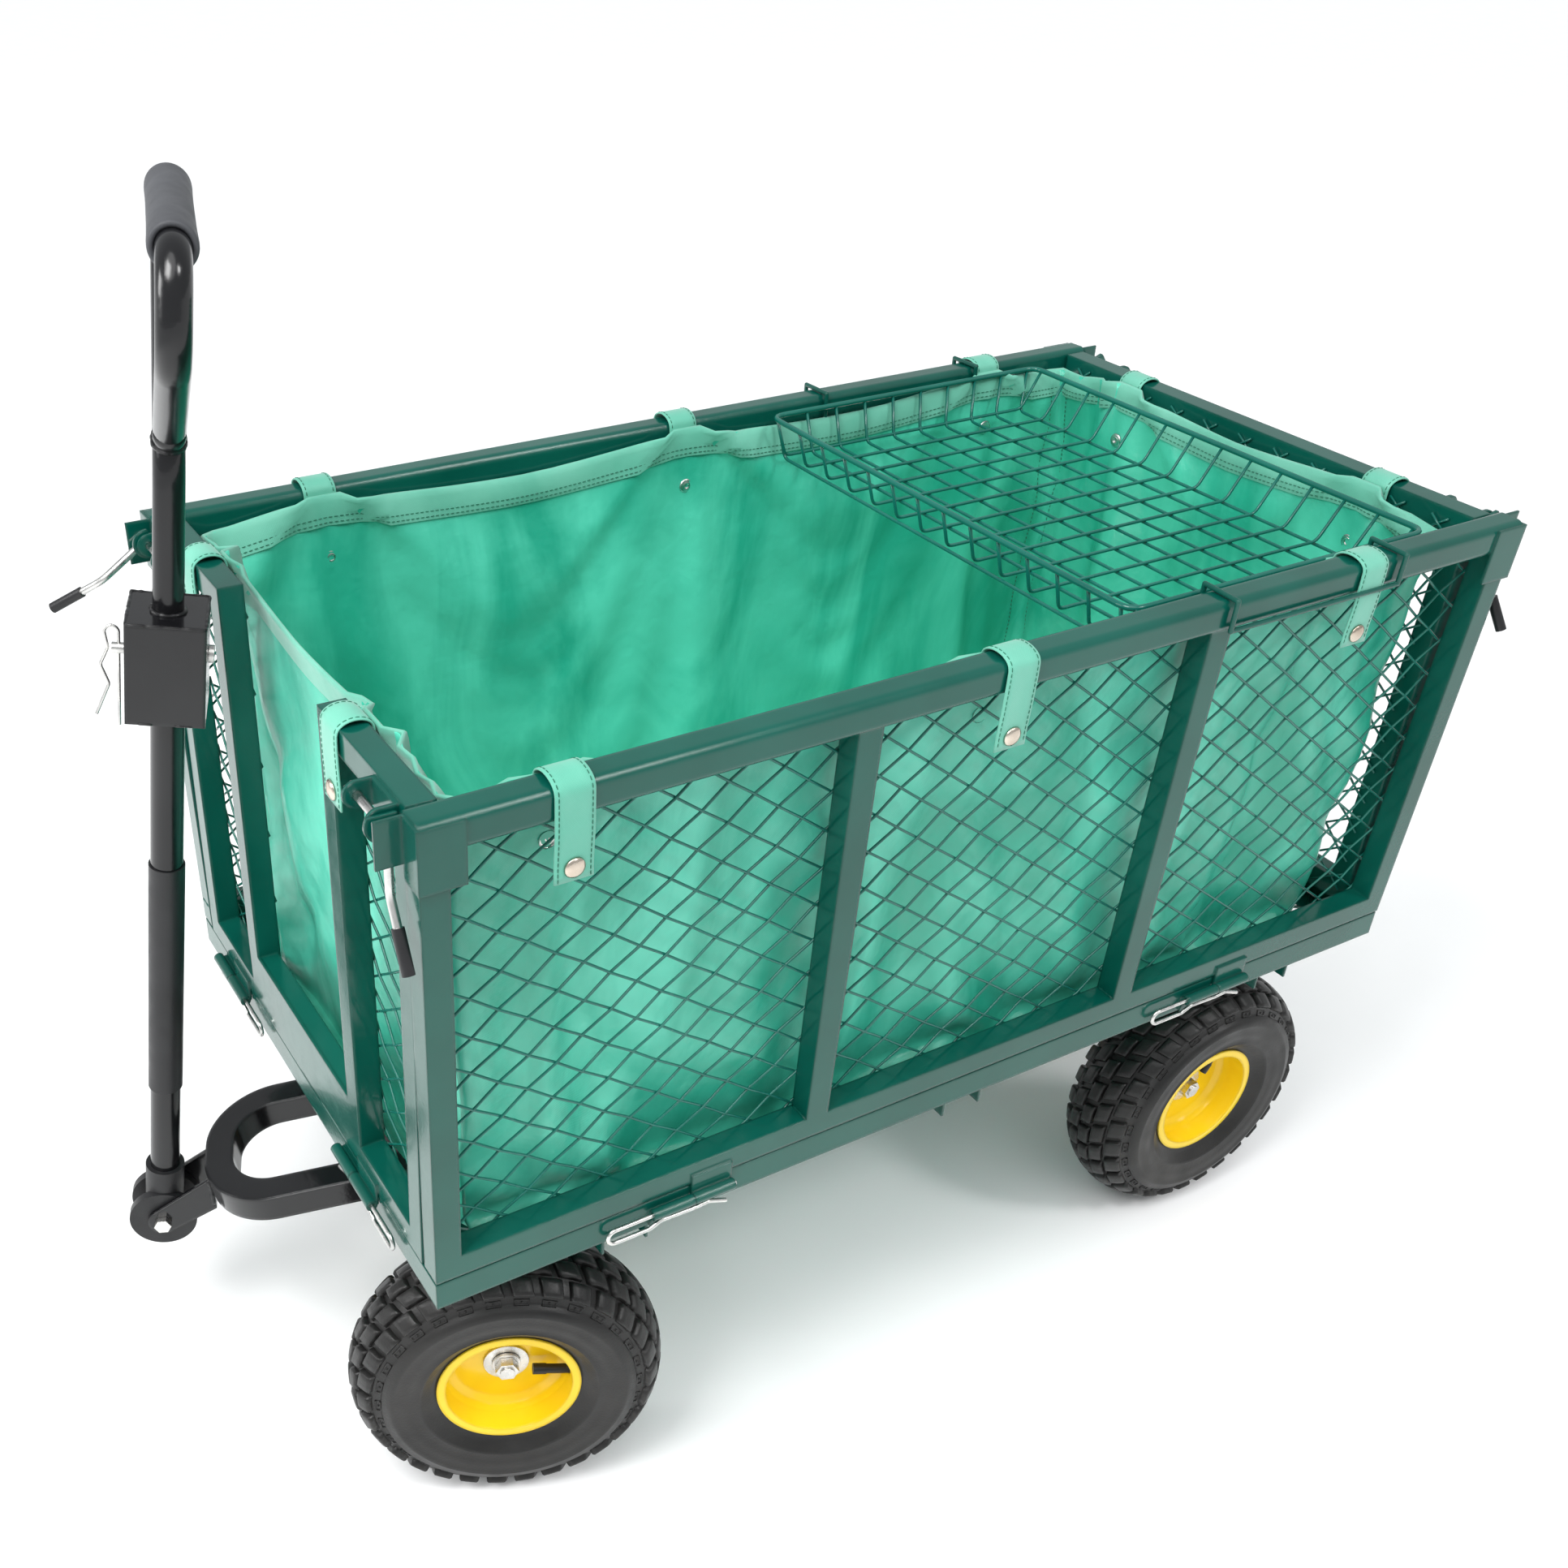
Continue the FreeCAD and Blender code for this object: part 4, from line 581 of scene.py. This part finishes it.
def liner():
    """Points, faces and UVs of the bag before it settles, with its counts of cells."""
    nx, ny = round((FOOT_FRONT - FOOT_REAR) / GRID), round(2 * FOOT_HALF / GRID)
    nz = round((LINER_HIGH - LINER_LOW) / GRID)
    perimeter = 2 * (nx + ny)
    points = []

    def around(index, share):
        front, rear, half = ring_corners(share)
        if index < nx:
            return rear + (front - rear) * index / nx, half
        index -= nx
        if index < ny:
            return front, half - 2 * half * index / ny
        index -= ny
        if index < nx:
            return front + (rear - front) * index / nx, -half
        index -= nx
        return rear, -half + 2 * half * index / ny

    for row in range(nz + 1):
        share = row / nz
        for index in range(perimeter):
            x, y = around(index, share)
            points.append(Vector((x, y, LINER_LOW + (LINER_HIGH - LINER_LOW) * share)))
    faces, uvs = [], []
    step_u = 2 * (FOOT_FRONT - FOOT_REAR + 2 * FOOT_HALF) / perimeter
    step_v = (LINER_HIGH - LINER_LOW) / nz
    for row in range(nz):
        for index in range(perimeter):
            j = (index + 1) % perimeter
            low, high = row * perimeter, (row + 1) * perimeter
            faces.append([low + index, low + j, high + j, high + index])
            u0, u1, v0, v1 = index * step_u, (index + 1) * step_u, row * step_v, (row + 1) * step_v
            uvs.append([(u0, v0), (u1, v0), (u1, v1), (u0, v1)])
    # floor cells share the first ring's vertices
    floor_index = {}
    for i in range(nx + 1):
        for j in range(ny + 1):
            if j == ny:
                floor_index[i, j] = i
            elif i == nx:
                floor_index[i, j] = nx + (ny - j)
            elif j == 0:
                floor_index[i, j] = nx + ny + (nx - i)
            elif i == 0:
                floor_index[i, j] = 2 * nx + ny + j
            else:
                floor_index[i, j] = len(points)
                x = FOOT_REAR + (FOOT_FRONT - FOOT_REAR) * i / nx
                y = -FOOT_HALF + 2 * FOOT_HALF * j / ny
                points.append(Vector((x, y, LINER_LOW)))
    for i in range(nx):
        for j in range(ny):
            cell = ((i, j), (i, j + 1), (i + 1, j + 1), (i + 1, j))
            faces.append([floor_index[corner] for corner in cell])
            uvs.append([(a * step_u, b * step_u) for a, b in cell])
    return points, faces, uvs, nx, ny, nz, perimeter


def to_strap(x, y):
    """Distance from a place on the rim to the nearest strap."""
    return min(math.hypot(x - a, y - b) for a, b in hold_points())


def rim_sag(x, y):
    """How far the rim hangs below the nearest strap, deeper in the long free spans."""
    return 0.008 * (1 - math.exp(-(to_strap(x, y) / 0.10) ** 2))


def wall_limit(z):
    """Half width and end limits that the panels' meshes leave for the bag at a height."""
    rise = z - 0.334
    end = 0.488 - 0.0312 - rise * 0.0122
    return 0.258 - 0.0305 + rise * 0.0279, end, -end


def open_box(low, high):
    """The tray and the four panels as a plain open box around the bag, which the cloth rests against."""
    corners = []
    for z in (low, high):
        half, front, rear = wall_limit(z)
        corners += [(front, half, z), (rear, half, z), (rear, -half, z), (front, -half, z)]
    mesh = bpy.data.meshes.new("liner_limits")
    mesh.from_pydata(corners, [], [[0, 1, 2, 3], [0, 4, 5, 1], [1, 5, 6, 2], [2, 6, 7, 3], [3, 7, 4, 0]])
    box = bpy.data.objects.new("liner_limits", mesh)
    bpy.context.scene.collection.objects.link(box)
    box.modifiers.new("collision", "COLLISION")
    box.collision.thickness_outer = 0.002
    box.collision.thickness_inner = 0.02
    return box


def simulate(obj, top_row, perimeter):
    """Let the cloth drop and gather, held at the strap points and guided along its rim."""
    group = obj.vertex_groups.new(name="held")
    for number in range(top_row, top_row + perimeter):
        spot = obj.data.vertices[number].co
        weight = 1.0 if to_strap(spot.x, spot.y) < HELD_RADIUS else FREE_RIM
        group.add([number], weight, "REPLACE")
    cloth_mod = obj.modifiers.new("cloth", "CLOTH")
    settings = cloth_mod.settings
    settings.quality = 6
    settings.mass = 0.25
    settings.tension_stiffness = 18
    settings.compression_stiffness = 12
    settings.shear_stiffness = 6
    settings.bending_stiffness = 0.35
    settings.air_damping = 2
    settings.shrink_min = -0.022
    settings.vertex_group_mass = "held"
    settings.pin_stiffness = 0.6
    cloth_mod.collision_settings.use_collision = True
    cloth_mod.collision_settings.distance_min = 0.002
    cloth_mod.collision_settings.use_self_collision = False
    box = open_box(LINER_LOW - 0.0025, LINER_HIGH + 0.02)
    scene = bpy.context.scene
    cloth_mod.point_cache.frame_start = 1
    cloth_mod.point_cache.frame_end = SETTLE_FRAMES
    for number in range(1, SETTLE_FRAMES + 1):
        scene.frame_set(number)
    settled = obj.evaluated_get(bpy.context.evaluated_depsgraph_get()).to_mesh()
    places = [v.co.copy() for v in settled.vertices]
    scene.frame_set(1)
    obj.modifiers.remove(cloth_mod)
    bpy.data.objects.remove(box)
    return places


def ripple(points, perimeter, nz, phases):
    """Shallow waves and a sagging rim, from which the cloth starts to settle."""
    for index, p in enumerate(points):
        if index >= (nz + 1) * perimeter:
            p.z += 0.001 + 0.001 * math.sin(p.x * 60 + phases[5]) * math.sin(p.y * 70 + phases[6])
            continue
        row, place = divmod(index, perimeter)
        share = row / nz
        p.z -= rim_sag(p.x, p.y) * share
        wave = sum(math.sin(place * f + phases[k]) for k, f in enumerate((0.19, 0.33, 0.52, 0.81))) * 0.0018
        push = abs(wave * math.sin(math.pi * min(share * 1.15, 1))) + 0.001
        if abs(p.y) > 0.9 * ring_corners(share)[2]:
            p.y -= math.copysign(push, p.y)
        else:
            p.x -= math.copysign(push, p.x)


def buckle(points, perimeter, nz):
    """Slanting creases pressed inwards into the four walls, deepest on the left and front."""
    for index in range(nz * perimeter):
        p = points[index]
        share = index // perimeter / nz
        fade = min(1, share * 6) * min(1, max(0, 0.85 - share) * 6)
        on_side = abs(p.y) > 0.9 * ring_corners(share)[2]
        along = p.x if on_side else p.y
        broad = Vector((along * 9 - p.z * 7, p.z * 3.5 + along * 1.5, 3.0 if on_side else 8.0))
        small = Vector((along * 22 + p.z * 13, p.z * 9, 5.0))
        deep = fade * (0.0085 * (1 - min(1, abs(fractal.noise(broad)) * 3.2))
                       + 0.0025 * (1 - min(1, abs(fractal.noise(small)) * 2.5)))
        if on_side:
            p.y -= math.copysign(deep, p.y) * (1 if p.y > 0 else 0.45)
        else:
            p.x -= math.copysign(deep, p.x) * (1 if p.x > 0 else 0.5)


def keep_inside(points):
    """Bring back what the creases or the cloth's slack push through the panels or the floor."""
    for p in points:
        half, front, rear = wall_limit(p.z)
        p.y = max(-half, min(half, p.y))
        p.x = max(rear, min(front, p.x))
        p.z = max(p.z, LINER_LOW)


points, faces, uvs, nx, ny, nz, perimeter = liner()
draw = random.Random(11)
top_row = nz * perimeter
ripple(points, perimeter, nz, [draw.uniform(0, 6.28) for _ in range(8)])
mesh = bpy.data.meshes.new("liner_cloth")
mesh.from_pydata([tuple(p) for p in points], [], faces)
liner_cloth = bpy.data.objects.new("liner_cloth", mesh)
bpy.context.scene.collection.objects.link(liner_cloth)
points = simulate(liner_cloth, top_row, perimeter)
buckle(points, perimeter, nz)
keep_inside(points)
for vertex, p in zip(mesh.vertices, points):
    vertex.co = p + Vector((BED_X, 0, 0))
set_uvs(mesh, uvs)
mesh.polygons.foreach_set("use_smooth", [True] * len(mesh.polygons))
mesh.materials.append(LINER)
smoother = liner_cloth.modifiers.new("smoother", "SUBSURF")
smoother.levels = smoother.render_levels = 1
sheet_thick = liner_cloth.modifiers.new("sheet_thickness", "SOLIDIFY")
sheet_thick.thickness = 0.0009
sheet_thick.offset = 0
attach(liner_cloth, "bed")
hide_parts("liner_bag")

# hem: the woven side folded over the rim, inside and out
HEM_DEEP = 0.024
HEM_SECTION = [  # depth below the rim, how far off the wall (inwards is positive)
    (HEM_DEEP, 0.0022), (HEM_DEEP * 0.6, 0.0026), (HEM_DEEP * 0.2, 0.0024), (0.0, 0.0018), (-0.0016, 0.0),
    (0.0, -0.0016), (HEM_DEEP * 0.2, -0.0018), (HEM_DEEP * 0.6, -0.0018), (HEM_DEEP, -0.0014)]
SEAM_LINES = (HEM_DEEP - 0.003, HEM_DEEP - 0.0075)
CORNER_BLEND = 0.03
rim = [mesh.vertices[top_row + i].co.copy() for i in range(perimeter)]


def inward(p):
    """Direction into the bag from a place on its rim, turning smoothly round the corners."""
    x, y = p.x - BED_X, p.y
    end = RIM_FRONT if x > 0 else -RIM_REAR
    blend_x = max(0.0, 1 - (end - abs(x)) / CORNER_BLEND)
    blend_y = max(0.0, 1 - (ring_corners(1)[2] - abs(y)) / CORNER_BLEND)
    way = Vector((-math.copysign(blend_x, x), -math.copysign(blend_y, y), 0))
    return way.normalized() if way.length > 0.01 else Vector((-1, 0, 0))


def surface_at(index, depth):
    """Point on the bag's wall a given depth below the rim, found along one column of the grid."""
    index %= perimeter
    row = nz
    left = depth
    here = mesh.vertices[row * perimeter + index].co.copy()
    while row > 0:
        below = mesh.vertices[(row - 1) * perimeter + index].co
        span = (here - below).length
        if span >= left:
            return here.lerp(below, left / span)
        left -= span
        here = below
        row -= 1
    return here


def hem():
    shape = Shape()
    points, faces, uvs = [], [], []
    wide, weave_step = len(HEM_SECTION), 0.006
    for i in range(perimeter):
        for depth, off in HEM_SECTION:
            base = surface_at(i, max(depth, 0)) + inward(rim[i]) * off
            base.z -= min(depth, 0)
            points.append(base)
    for i in range(perimeter):
        j = (i + 1) % perimeter
        for k in range(wide - 1):
            faces.append([i * wide + k, j * wide + k, j * wide + k + 1, i * wide + k + 1])
            u0, u1, v0, v1 = i * GRID, (i + 1) * GRID, k * weave_step, (k + 1) * weave_step
            uvs.append([(u0, v0), (u1, v0), (u1, v1), (u0, v1)])
    shape.add(points, faces, uvs)
    return shape.make("liner_hem", "bed", HEM)


def run_of_stitches(shape, line, thick=0.00045):
    """Three short stitches to each piece of a line."""
    for a, b in zip(line, line[1:]):
        for k in range(3):
            first, last = a.lerp(b, k / 3 + 0.04), a.lerp(b, k / 3 + 0.25)
            tube(shape, [first, (first + last) / 2, last], [thick * 0.6, thick, thick * 0.6], 5)


def stitching():
    """Two rows along the hem and a row each side of the four corner seams."""
    shape = Shape()
    for depth in SEAM_LINES:
        run_of_stitches(shape, [surface_at(i, depth) + inward(rim[i % perimeter]) * 0.0029
                                for i in range(perimeter + 1)])
    for corner in (0, nx, nx + ny, 2 * nx + ny):
        for beside in (1, -1):
            i = (corner + beside) % perimeter
            run_of_stitches(shape, [mesh.vertices[row * perimeter + i].co + inward(rim[i]) * 0.0012
                                    for row in range(nz + 1)])
    return shape.make("liner_stitching", "bed", THREAD)


hem_obj = hem()
stitch_obj = stitching()


# ---------------------------------------------------------------- strap loops with snaps
ALONG = Vector((1, 0, 0))
STRAP_W, STRAP_T, STRAP_SEAM = 0.028, 0.0015, 0.0115
LANES = [-1.0, -0.96, -0.5, 0.0, 0.5, 0.96, 1.0]  # across the webbing, thin at its very edges


def band(shape, path):
    """Flat webbing along a path, with its width along x and slightly rounded edges."""
    points, faces, uvs, runs = [], [], [], []
    run = 0.0
    for i, p in enumerate(path):
        ahead = (path[min(i + 1, len(path) - 1)] - path[max(i - 1, 0)]).normalized()
        normal = ALONG.cross(ahead).normalized()
        if i:
            run += (p - path[i - 1]).length
        runs.append(run)
        for sign in (1, -1):
            for lane in LANES[::sign]:
                swell = 0.3 if abs(lane) == 1.0 else 1.0
                points.append(p + ALONG * STRAP_W / 2 * lane + normal * sign * STRAP_T / 2 * swell)
    ring = 2 * len(LANES)
    for i in range(len(path) - 1):
        for k in range(ring):
            l = (k + 1) % ring
            faces.append([i * ring + k, i * ring + l, (i + 1) * ring + l, (i + 1) * ring + k])
            u = [(points[i * ring + q] - path[i]).dot(ALONG) for q in (k, l)]
            uvs.append([(u[0], runs[i]), (u[1], runs[i]), (u[1], runs[i + 1]), (u[0], runs[i + 1])])
    faces.append(list(range(ring))[::-1])
    faces.append([(len(path) - 1) * ring + k for k in range(ring)])
    uvs += [[(0, 0)] * ring] * 2
    shape.add(points, faces, uvs)


def dashes(shape, path, offset):
    """Row of stitches beside a band's edge, just above its outer face."""
    lift, pitch = 0.0009, 0.0042
    total = sum((b - a).length for a, b in zip(path, path[1:]))

    def at(run):
        for a, b in zip(path, path[1:]):
            span = (b - a).length
            if run <= span:
                normal = ALONG.cross((b - a).normalized()).normalized()
                return a.lerp(b, run / span) + ALONG * offset + normal * lift
            run -= span
        return path[-1] + ALONG * offset

    for k in range(int(total / pitch)):
        tube(shape, [at(k * pitch + 0.0006), at(k * pitch + pitch * 0.45), at(k * pitch + pitch * 0.8)],
             [0.0003, 0.00045, 0.0003], 5)


def strap_path(outer, inner, top, tail, arch, splay):
    """Loop in the panel's own y and z: up inside the rail, over it in an arch, down to the snap."""
    reach, middle = outer - inner, (outer + inner) / 2
    points = [(inner - 0.0026, top - 0.034), (inner - 0.0020, top - 0.012)]
    for k in range(9):
        angle = math.pi * (1 - k / 8)
        points.append((middle + (reach / 2 + 0.0018) * math.cos(angle),
                       top - 0.004 + (0.0045 + arch) * math.sin(angle)))
    points += [(outer + 0.0022, top - 0.014), (outer + 0.0020 + splay, top - tail * 0.5),
               (outer + 0.0016, top - tail + 0.012), (outer + 0.0018 + splay * 0.4, top - tail)]
    return [(0, y, z) for y, z in points]


SIDE_RAIL = (-0.004, -0.029, 0.400, 0.068)  # outer face, inner face, top, tail length
END_RAIL = (-0.0055, -0.0275, 0.398, 0.060)
RAILS = {"left": SIDE_RAIL, "right": SIDE_RAIL, "front": END_RAIL, "rear": END_RAIL}
BUTTON = [(0.0001, 0.0030), (0.0028, 0.0028), (0.0052, 0.0021), (0.0070, 0.0012), (0.0076, 0.0),
          (0.0001, 0.0)]
SOCKET = [(0.0001, 0.0008), (0.0016, 0.0008), (0.0022, 0.0020), (0.0036, 0.0021), (0.0046, 0.0012),
          (0.0058, 0.0016), (0.0066, 0.0006), (0.0066, 0.0)]
SOCKET_DEPTH = 0.052


def strap_loops(side):
    straps, threads, snaps = Shape(), Shape(), Shape()
    for centre in STRAPS[side]:
        arch = 0.0035 + 0.0015 * draw.random()
        splay = 0.0008 * draw.random()
        route = rounded(strap_path(*RAILS[side], arch, splay), 0.006, 3)
        path = [Vector(p) + ALONG * centre for p in route]
        band(straps, path)
        for offset in (STRAP_SEAM, -STRAP_SEAM):
            dashes(threads, path, offset)
        lathe(snaps, BUTTON, 28, Matrix.Translation(path[-1] + Vector((0, 0.0010, 0.010))), closed=False)
    matrix, body = panel_matrix(side), PANEL_BODY[side]
    straps.make(side + "_strap_loops", body, HEM, matrix, replaces=[side + "_straps"])
    threads.make(side + "_strap_stitching", body, THREAD, matrix)
    snaps.make(side + "_strap_snaps", body, SNAP, matrix)


def snap_sockets():
    """Press-stud rings inside the bag, one below each strap."""
    shape = Shape()
    for x, y in hold_points():
        place = min(range(perimeter), key=lambda i: math.hypot(rim[i].x - BED_X - x, rim[i].y - y))
        way = inward(rim[place])
        spot = surface_at(place, SOCKET_DEPTH) + way * 0.0006
        matrix = Matrix.Translation(spot) @ way.to_track_quat("Y", "Z").to_matrix().to_4x4()
        lathe(shape, SOCKET, 28, matrix, closed=False)
    shape.make("liner_snap_sockets", "bed", ZINC)


for side in STRAPS:
    strap_loops(side)
snap_sockets()


# ---------------------------------------------------------------- welds and small trim
rnd = random.Random(5)
BOX_HALF, BOX_LOW, BOX_HIGH = 0.028, 0.502, 0.580
LOOP_TURN = turn("Z", 5)
TUBE_R, NECK_BEND = 0.011, 0.060
LOOP_END, NECK_CENTRE = Vector((0, 0.014, 0.716)), Vector((0, -0.060, 0.6723))
LOOP_WAY, LOOP_ACROSS = Vector((0, -0.7776, -0.6287)), Vector((0, 0.6287, -0.7776))
GRIP_HEIGHT = 0.846
GRIP_PROFILE = [(0.0112, -0.0738), (0.0122, -0.0745), (0.0139, -0.0746), (0.0149, -0.0738), (0.0153, -0.0722),
                (0.0154, -0.066), (0.0151, -0.050), (0.0149, -0.025)]
YOKE_BACK, YOKE_SIDE = 0.2408, 0.0215
POST_ENDS = (-0.482, -0.168, -0.148, 0.148, 0.168, 0.462)


def bead(shape, path, radius):
    """Weld bead: a lumpy round run along a path."""
    path = [Vector(p) for p in path]
    fine = []
    for a, b in zip(path, path[1:]):
        steps = max(2, int((b - a).length / 0.0022))
        fine += [a.lerp(b, k / steps) for k in range(steps)]
    fine.append(path[-1])
    radii = [radius * (0.75 + 0.5 * rnd.random()) for point in fine]
    radii[0] = radii[-1] = radius * 0.4
    tube(shape, fine, radii, 8)


def loop_joint(shape):
    """The hand loop's free end runs on into the bent neck of the tube and is welded round the joint."""
    seam = []
    for k in range(33):
        around = math.pi * k / 16
        spot = LOOP_END + LOOP_ACROSS * TUBE_R * math.cos(around) + Vector((TUBE_R * math.sin(around), 0, 0))
        for step in range(52):
            away = spot - NECK_CENTRE
            if math.hypot(math.hypot(away.y, away.z) - NECK_BEND, spot.x) < TUBE_R + 0.0002:
                break
            spot = spot + LOOP_WAY * 0.0005
        seam.append(LOOP_TURN @ spot)
    bead(shape, seam, 0.0014)
    ends = [LOOP_TURN @ (LOOP_END + LOOP_WAY * run) for run in (-0.0006, 0.027)]
    tube(shape, ends, TUBE_R + 0.00003, 32)


def handle_welds():
    shape = Shape()
    edge = BOX_HALF - 0.0006
    square = [(edge, edge), (-edge, edge), (-edge, -edge), (edge, -edge), (edge, edge)]
    bead(shape, [(x, y, BOX_HIGH - 0.0006) for x, y in square], 0.0013)
    circle = [(math.cos(a) * 0.0118, math.sin(a) * 0.0118) for a in (2 * math.pi * k / 20 for k in range(21))]
    bead(shape, [(x, y, BOX_HIGH + 0.0006) for x, y in circle], 0.0016)
    for y in (edge, -edge):
        for x0, x1 in ((-0.020, -0.006), (0.008, 0.020)):
            bead(shape, [(x0, y, BOX_LOW + 0.0006), (x1, y, BOX_LOW + 0.0006)], 0.0011)
    loop_joint(shape)
    shape.make("coupler_welds", "handle", BLACK, HANDLE_FRAME)


def foam_grip():
    """Foam sleeve on the hand loop, a little swollen at its cut ends."""
    shape = Shape()
    lathe(shape, GRIP_PROFILE + [(r, -a) for r, a in GRIP_PROFILE[::-1]], 48)
    matrix = HANDLE_FRAME @ LOOP_TURN @ Matrix.Translation((0, 0, GRIP_HEIGHT))
    shape.make("foam_grip", "handle", FOAM, matrix, replaces=["handle_grip"])


def yoke_welds():
    shape = Shape()
    for y in (YOKE_SIDE, -YOKE_SIDE):
        line = [(YOKE_BACK, y, 0.174), (YOKE_BACK + 0.0008, y, 0.190), (YOKE_BACK + 0.002, y, 0.205)]
        bead(shape, line, 0.0020)
    bead(shape, [(YOKE_BACK + 0.001, y, 0.2065) for y in (-0.020, 0.020)], 0.0018)
    shape.make("yoke_welds", "front_axle", BLACK, AXLE_FRAME)


def post_welds(side):
    shape = Shape()
    for x in POST_ENDS:
        bead(shape, [(x + 0.0005, y, 0.0312) for y in (-0.0062, -0.0250)], 0.0012)
    shape.make(side + "_post_welds", PANEL_BODY[side], GREEN, panel_matrix(side))


handle_welds()
foam_grip()
yoke_welds()
post_welds("left")
post_welds("right")

# ---------------------------------------------------------------- latch levers
LEVERS = {  # panel, end of the panel, how far the lever has swung out
    "front_left": ("front", -1, 0),
    "front_right": ("front", 1, 55),
    "rear_left": ("rear", 1, 12),
    "rear_right": ("rear", -1, 20),
}
LEVER_OUT, LEVER_OFF, LEVER_UP = 0.209, 0.0067, 0.385
CAM_FROM, CAM_TO, BOSS_R, ROD_R = 0.0195, 0.0235, 0.0034, 0.0036
TIP_WAY = Vector((0.022, 0, -0.042)).normalized()
TIP_TOP = Vector((0.050, 0, -0.088)) - TIP_WAY * 0.027


def paint_lever(corner, panel, sign, swing):
    """Colour each face of a lever by where it lies along the pivot and the bent rod."""
    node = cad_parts[corner + "_latch_lever"]
    paint_node(node, (ZINC, GREEN, PLASTIC))
    place = panel_matrix(panel) @ Matrix.Translation((sign * LEVER_OUT, LEVER_OFF, LEVER_UP))
    local = (place @ turn("X", swing) @ turn("Z", 0 if sign > 0 else 180)).inverted()
    vertices = node.data.vertices
    for polygon in node.data.polygons:
        corners = [local @ vertices[i].co for i in polygon.vertices]
        middle = sum(corners, Vector()) / len(corners)
        off_rod = max((p - TIP_TOP).cross(TIP_WAY).length for p in corners)
        if CAM_FROM < middle.x < CAM_TO and math.hypot(middle.y, middle.z) > BOSS_R:
            polygon.material_index = 1
        elif (middle - TIP_TOP).dot(TIP_WAY) > -0.0001 and off_rod > ROD_R:
            polygon.material_index = 2


for corner, (panel, sign, swing) in LEVERS.items():
    paint_lever(corner, panel, sign, swing)

# ---------------------------------------------------------------- smooth shading on the CAD pieces
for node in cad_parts.values():
    node.data.polygons.foreach_set("use_smooth", [True] * len(node.data.polygons))
    node.data.set_sharp_from_angle(angle=math.radians(32))

# ---------------------------------------------------------------- studio
FLOOR_HALF = 90
floor_mesh = bpy.data.meshes.new("studio_floor")
floor_mesh.from_pydata([(-FLOOR_HALF, -FLOOR_HALF, 0), (FLOOR_HALF, -FLOOR_HALF, 0),
                        (FLOOR_HALF, FLOOR_HALF, 0), (-FLOOR_HALF, FLOOR_HALF, 0)], [], [[0, 1, 2, 3]])
floor_mesh.materials.append(FLOOR)
floor = bpy.data.objects.new("studio_floor", floor_mesh)
bpy.context.scene.collection.objects.link(floor)

world = bpy.data.worlds.new("studio")
world.use_nodes = True
world.node_tree.nodes["Background"].inputs["Color"].default_value = (0.95, 0.98, 1.0, 1)
world.node_tree.nodes["Background"].inputs["Strength"].default_value = 0.55
bpy.context.scene.world = world


def lamp(name, kind, where, aim, power, **settings):
    data = bpy.data.lights.new(name, kind)
    data.energy = power
    for key, value in settings.items():
        setattr(data, key, value)
    obj = bpy.data.objects.new(name, data)
    obj.location = where
    obj.rotation_euler = (Vector(aim) - Vector(where)).to_track_quat("-Z", "Y").to_euler()
    bpy.context.scene.collection.objects.link(obj)


MIDDLE = (0, 0, 0.4)
lamp("sky", "SUN", (0.8, 1.0, 3.0), MIDDLE, 1.25, angle=math.radians(50))
lamp("edge", "SUN", (-1.2, 1.7, 2.5), MIDDLE, 0.75, angle=math.radians(12))
lamp("key", "AREA", (1.6, 0.6, 2.6), MIDDLE, 42, size=1.0)
lamp("end", "AREA", (2.8, -0.9, 1.6), MIDDLE, 26, size=0.9)

CAMERA_PLACE = (0.7921 + BED_X, 1.0146, 1.2524)
AZIMUTH, ELEVATION, ROLL = math.radians(-119.48), math.radians(-34.71), math.radians(0.81)
camera_data = bpy.data.cameras.new("camera")
camera_data.sensor_width = 36
camera_data.lens = 38.76
camera_data.shift_x = 0.1229
camera_data.shift_y = 0.0660
camera = bpy.data.objects.new("camera", camera_data)
look = Vector((math.cos(ELEVATION) * math.cos(AZIMUTH), math.cos(ELEVATION) * math.sin(AZIMUTH),
               math.sin(ELEVATION)))
level = look.cross(Vector((0, 0, 1))).normalized()
upright = level.cross(look)
right = level * math.cos(ROLL) + upright * math.sin(ROLL)
up = upright * math.cos(ROLL) - level * math.sin(ROLL)
camera.matrix_world = Matrix.Translation(CAMERA_PLACE) @ Matrix((right, up, -look)).transposed().to_4x4()
bpy.context.scene.collection.objects.link(camera)
bpy.context.scene.camera = camera
bpy.context.scene.view_settings.view_transform = "Standard"
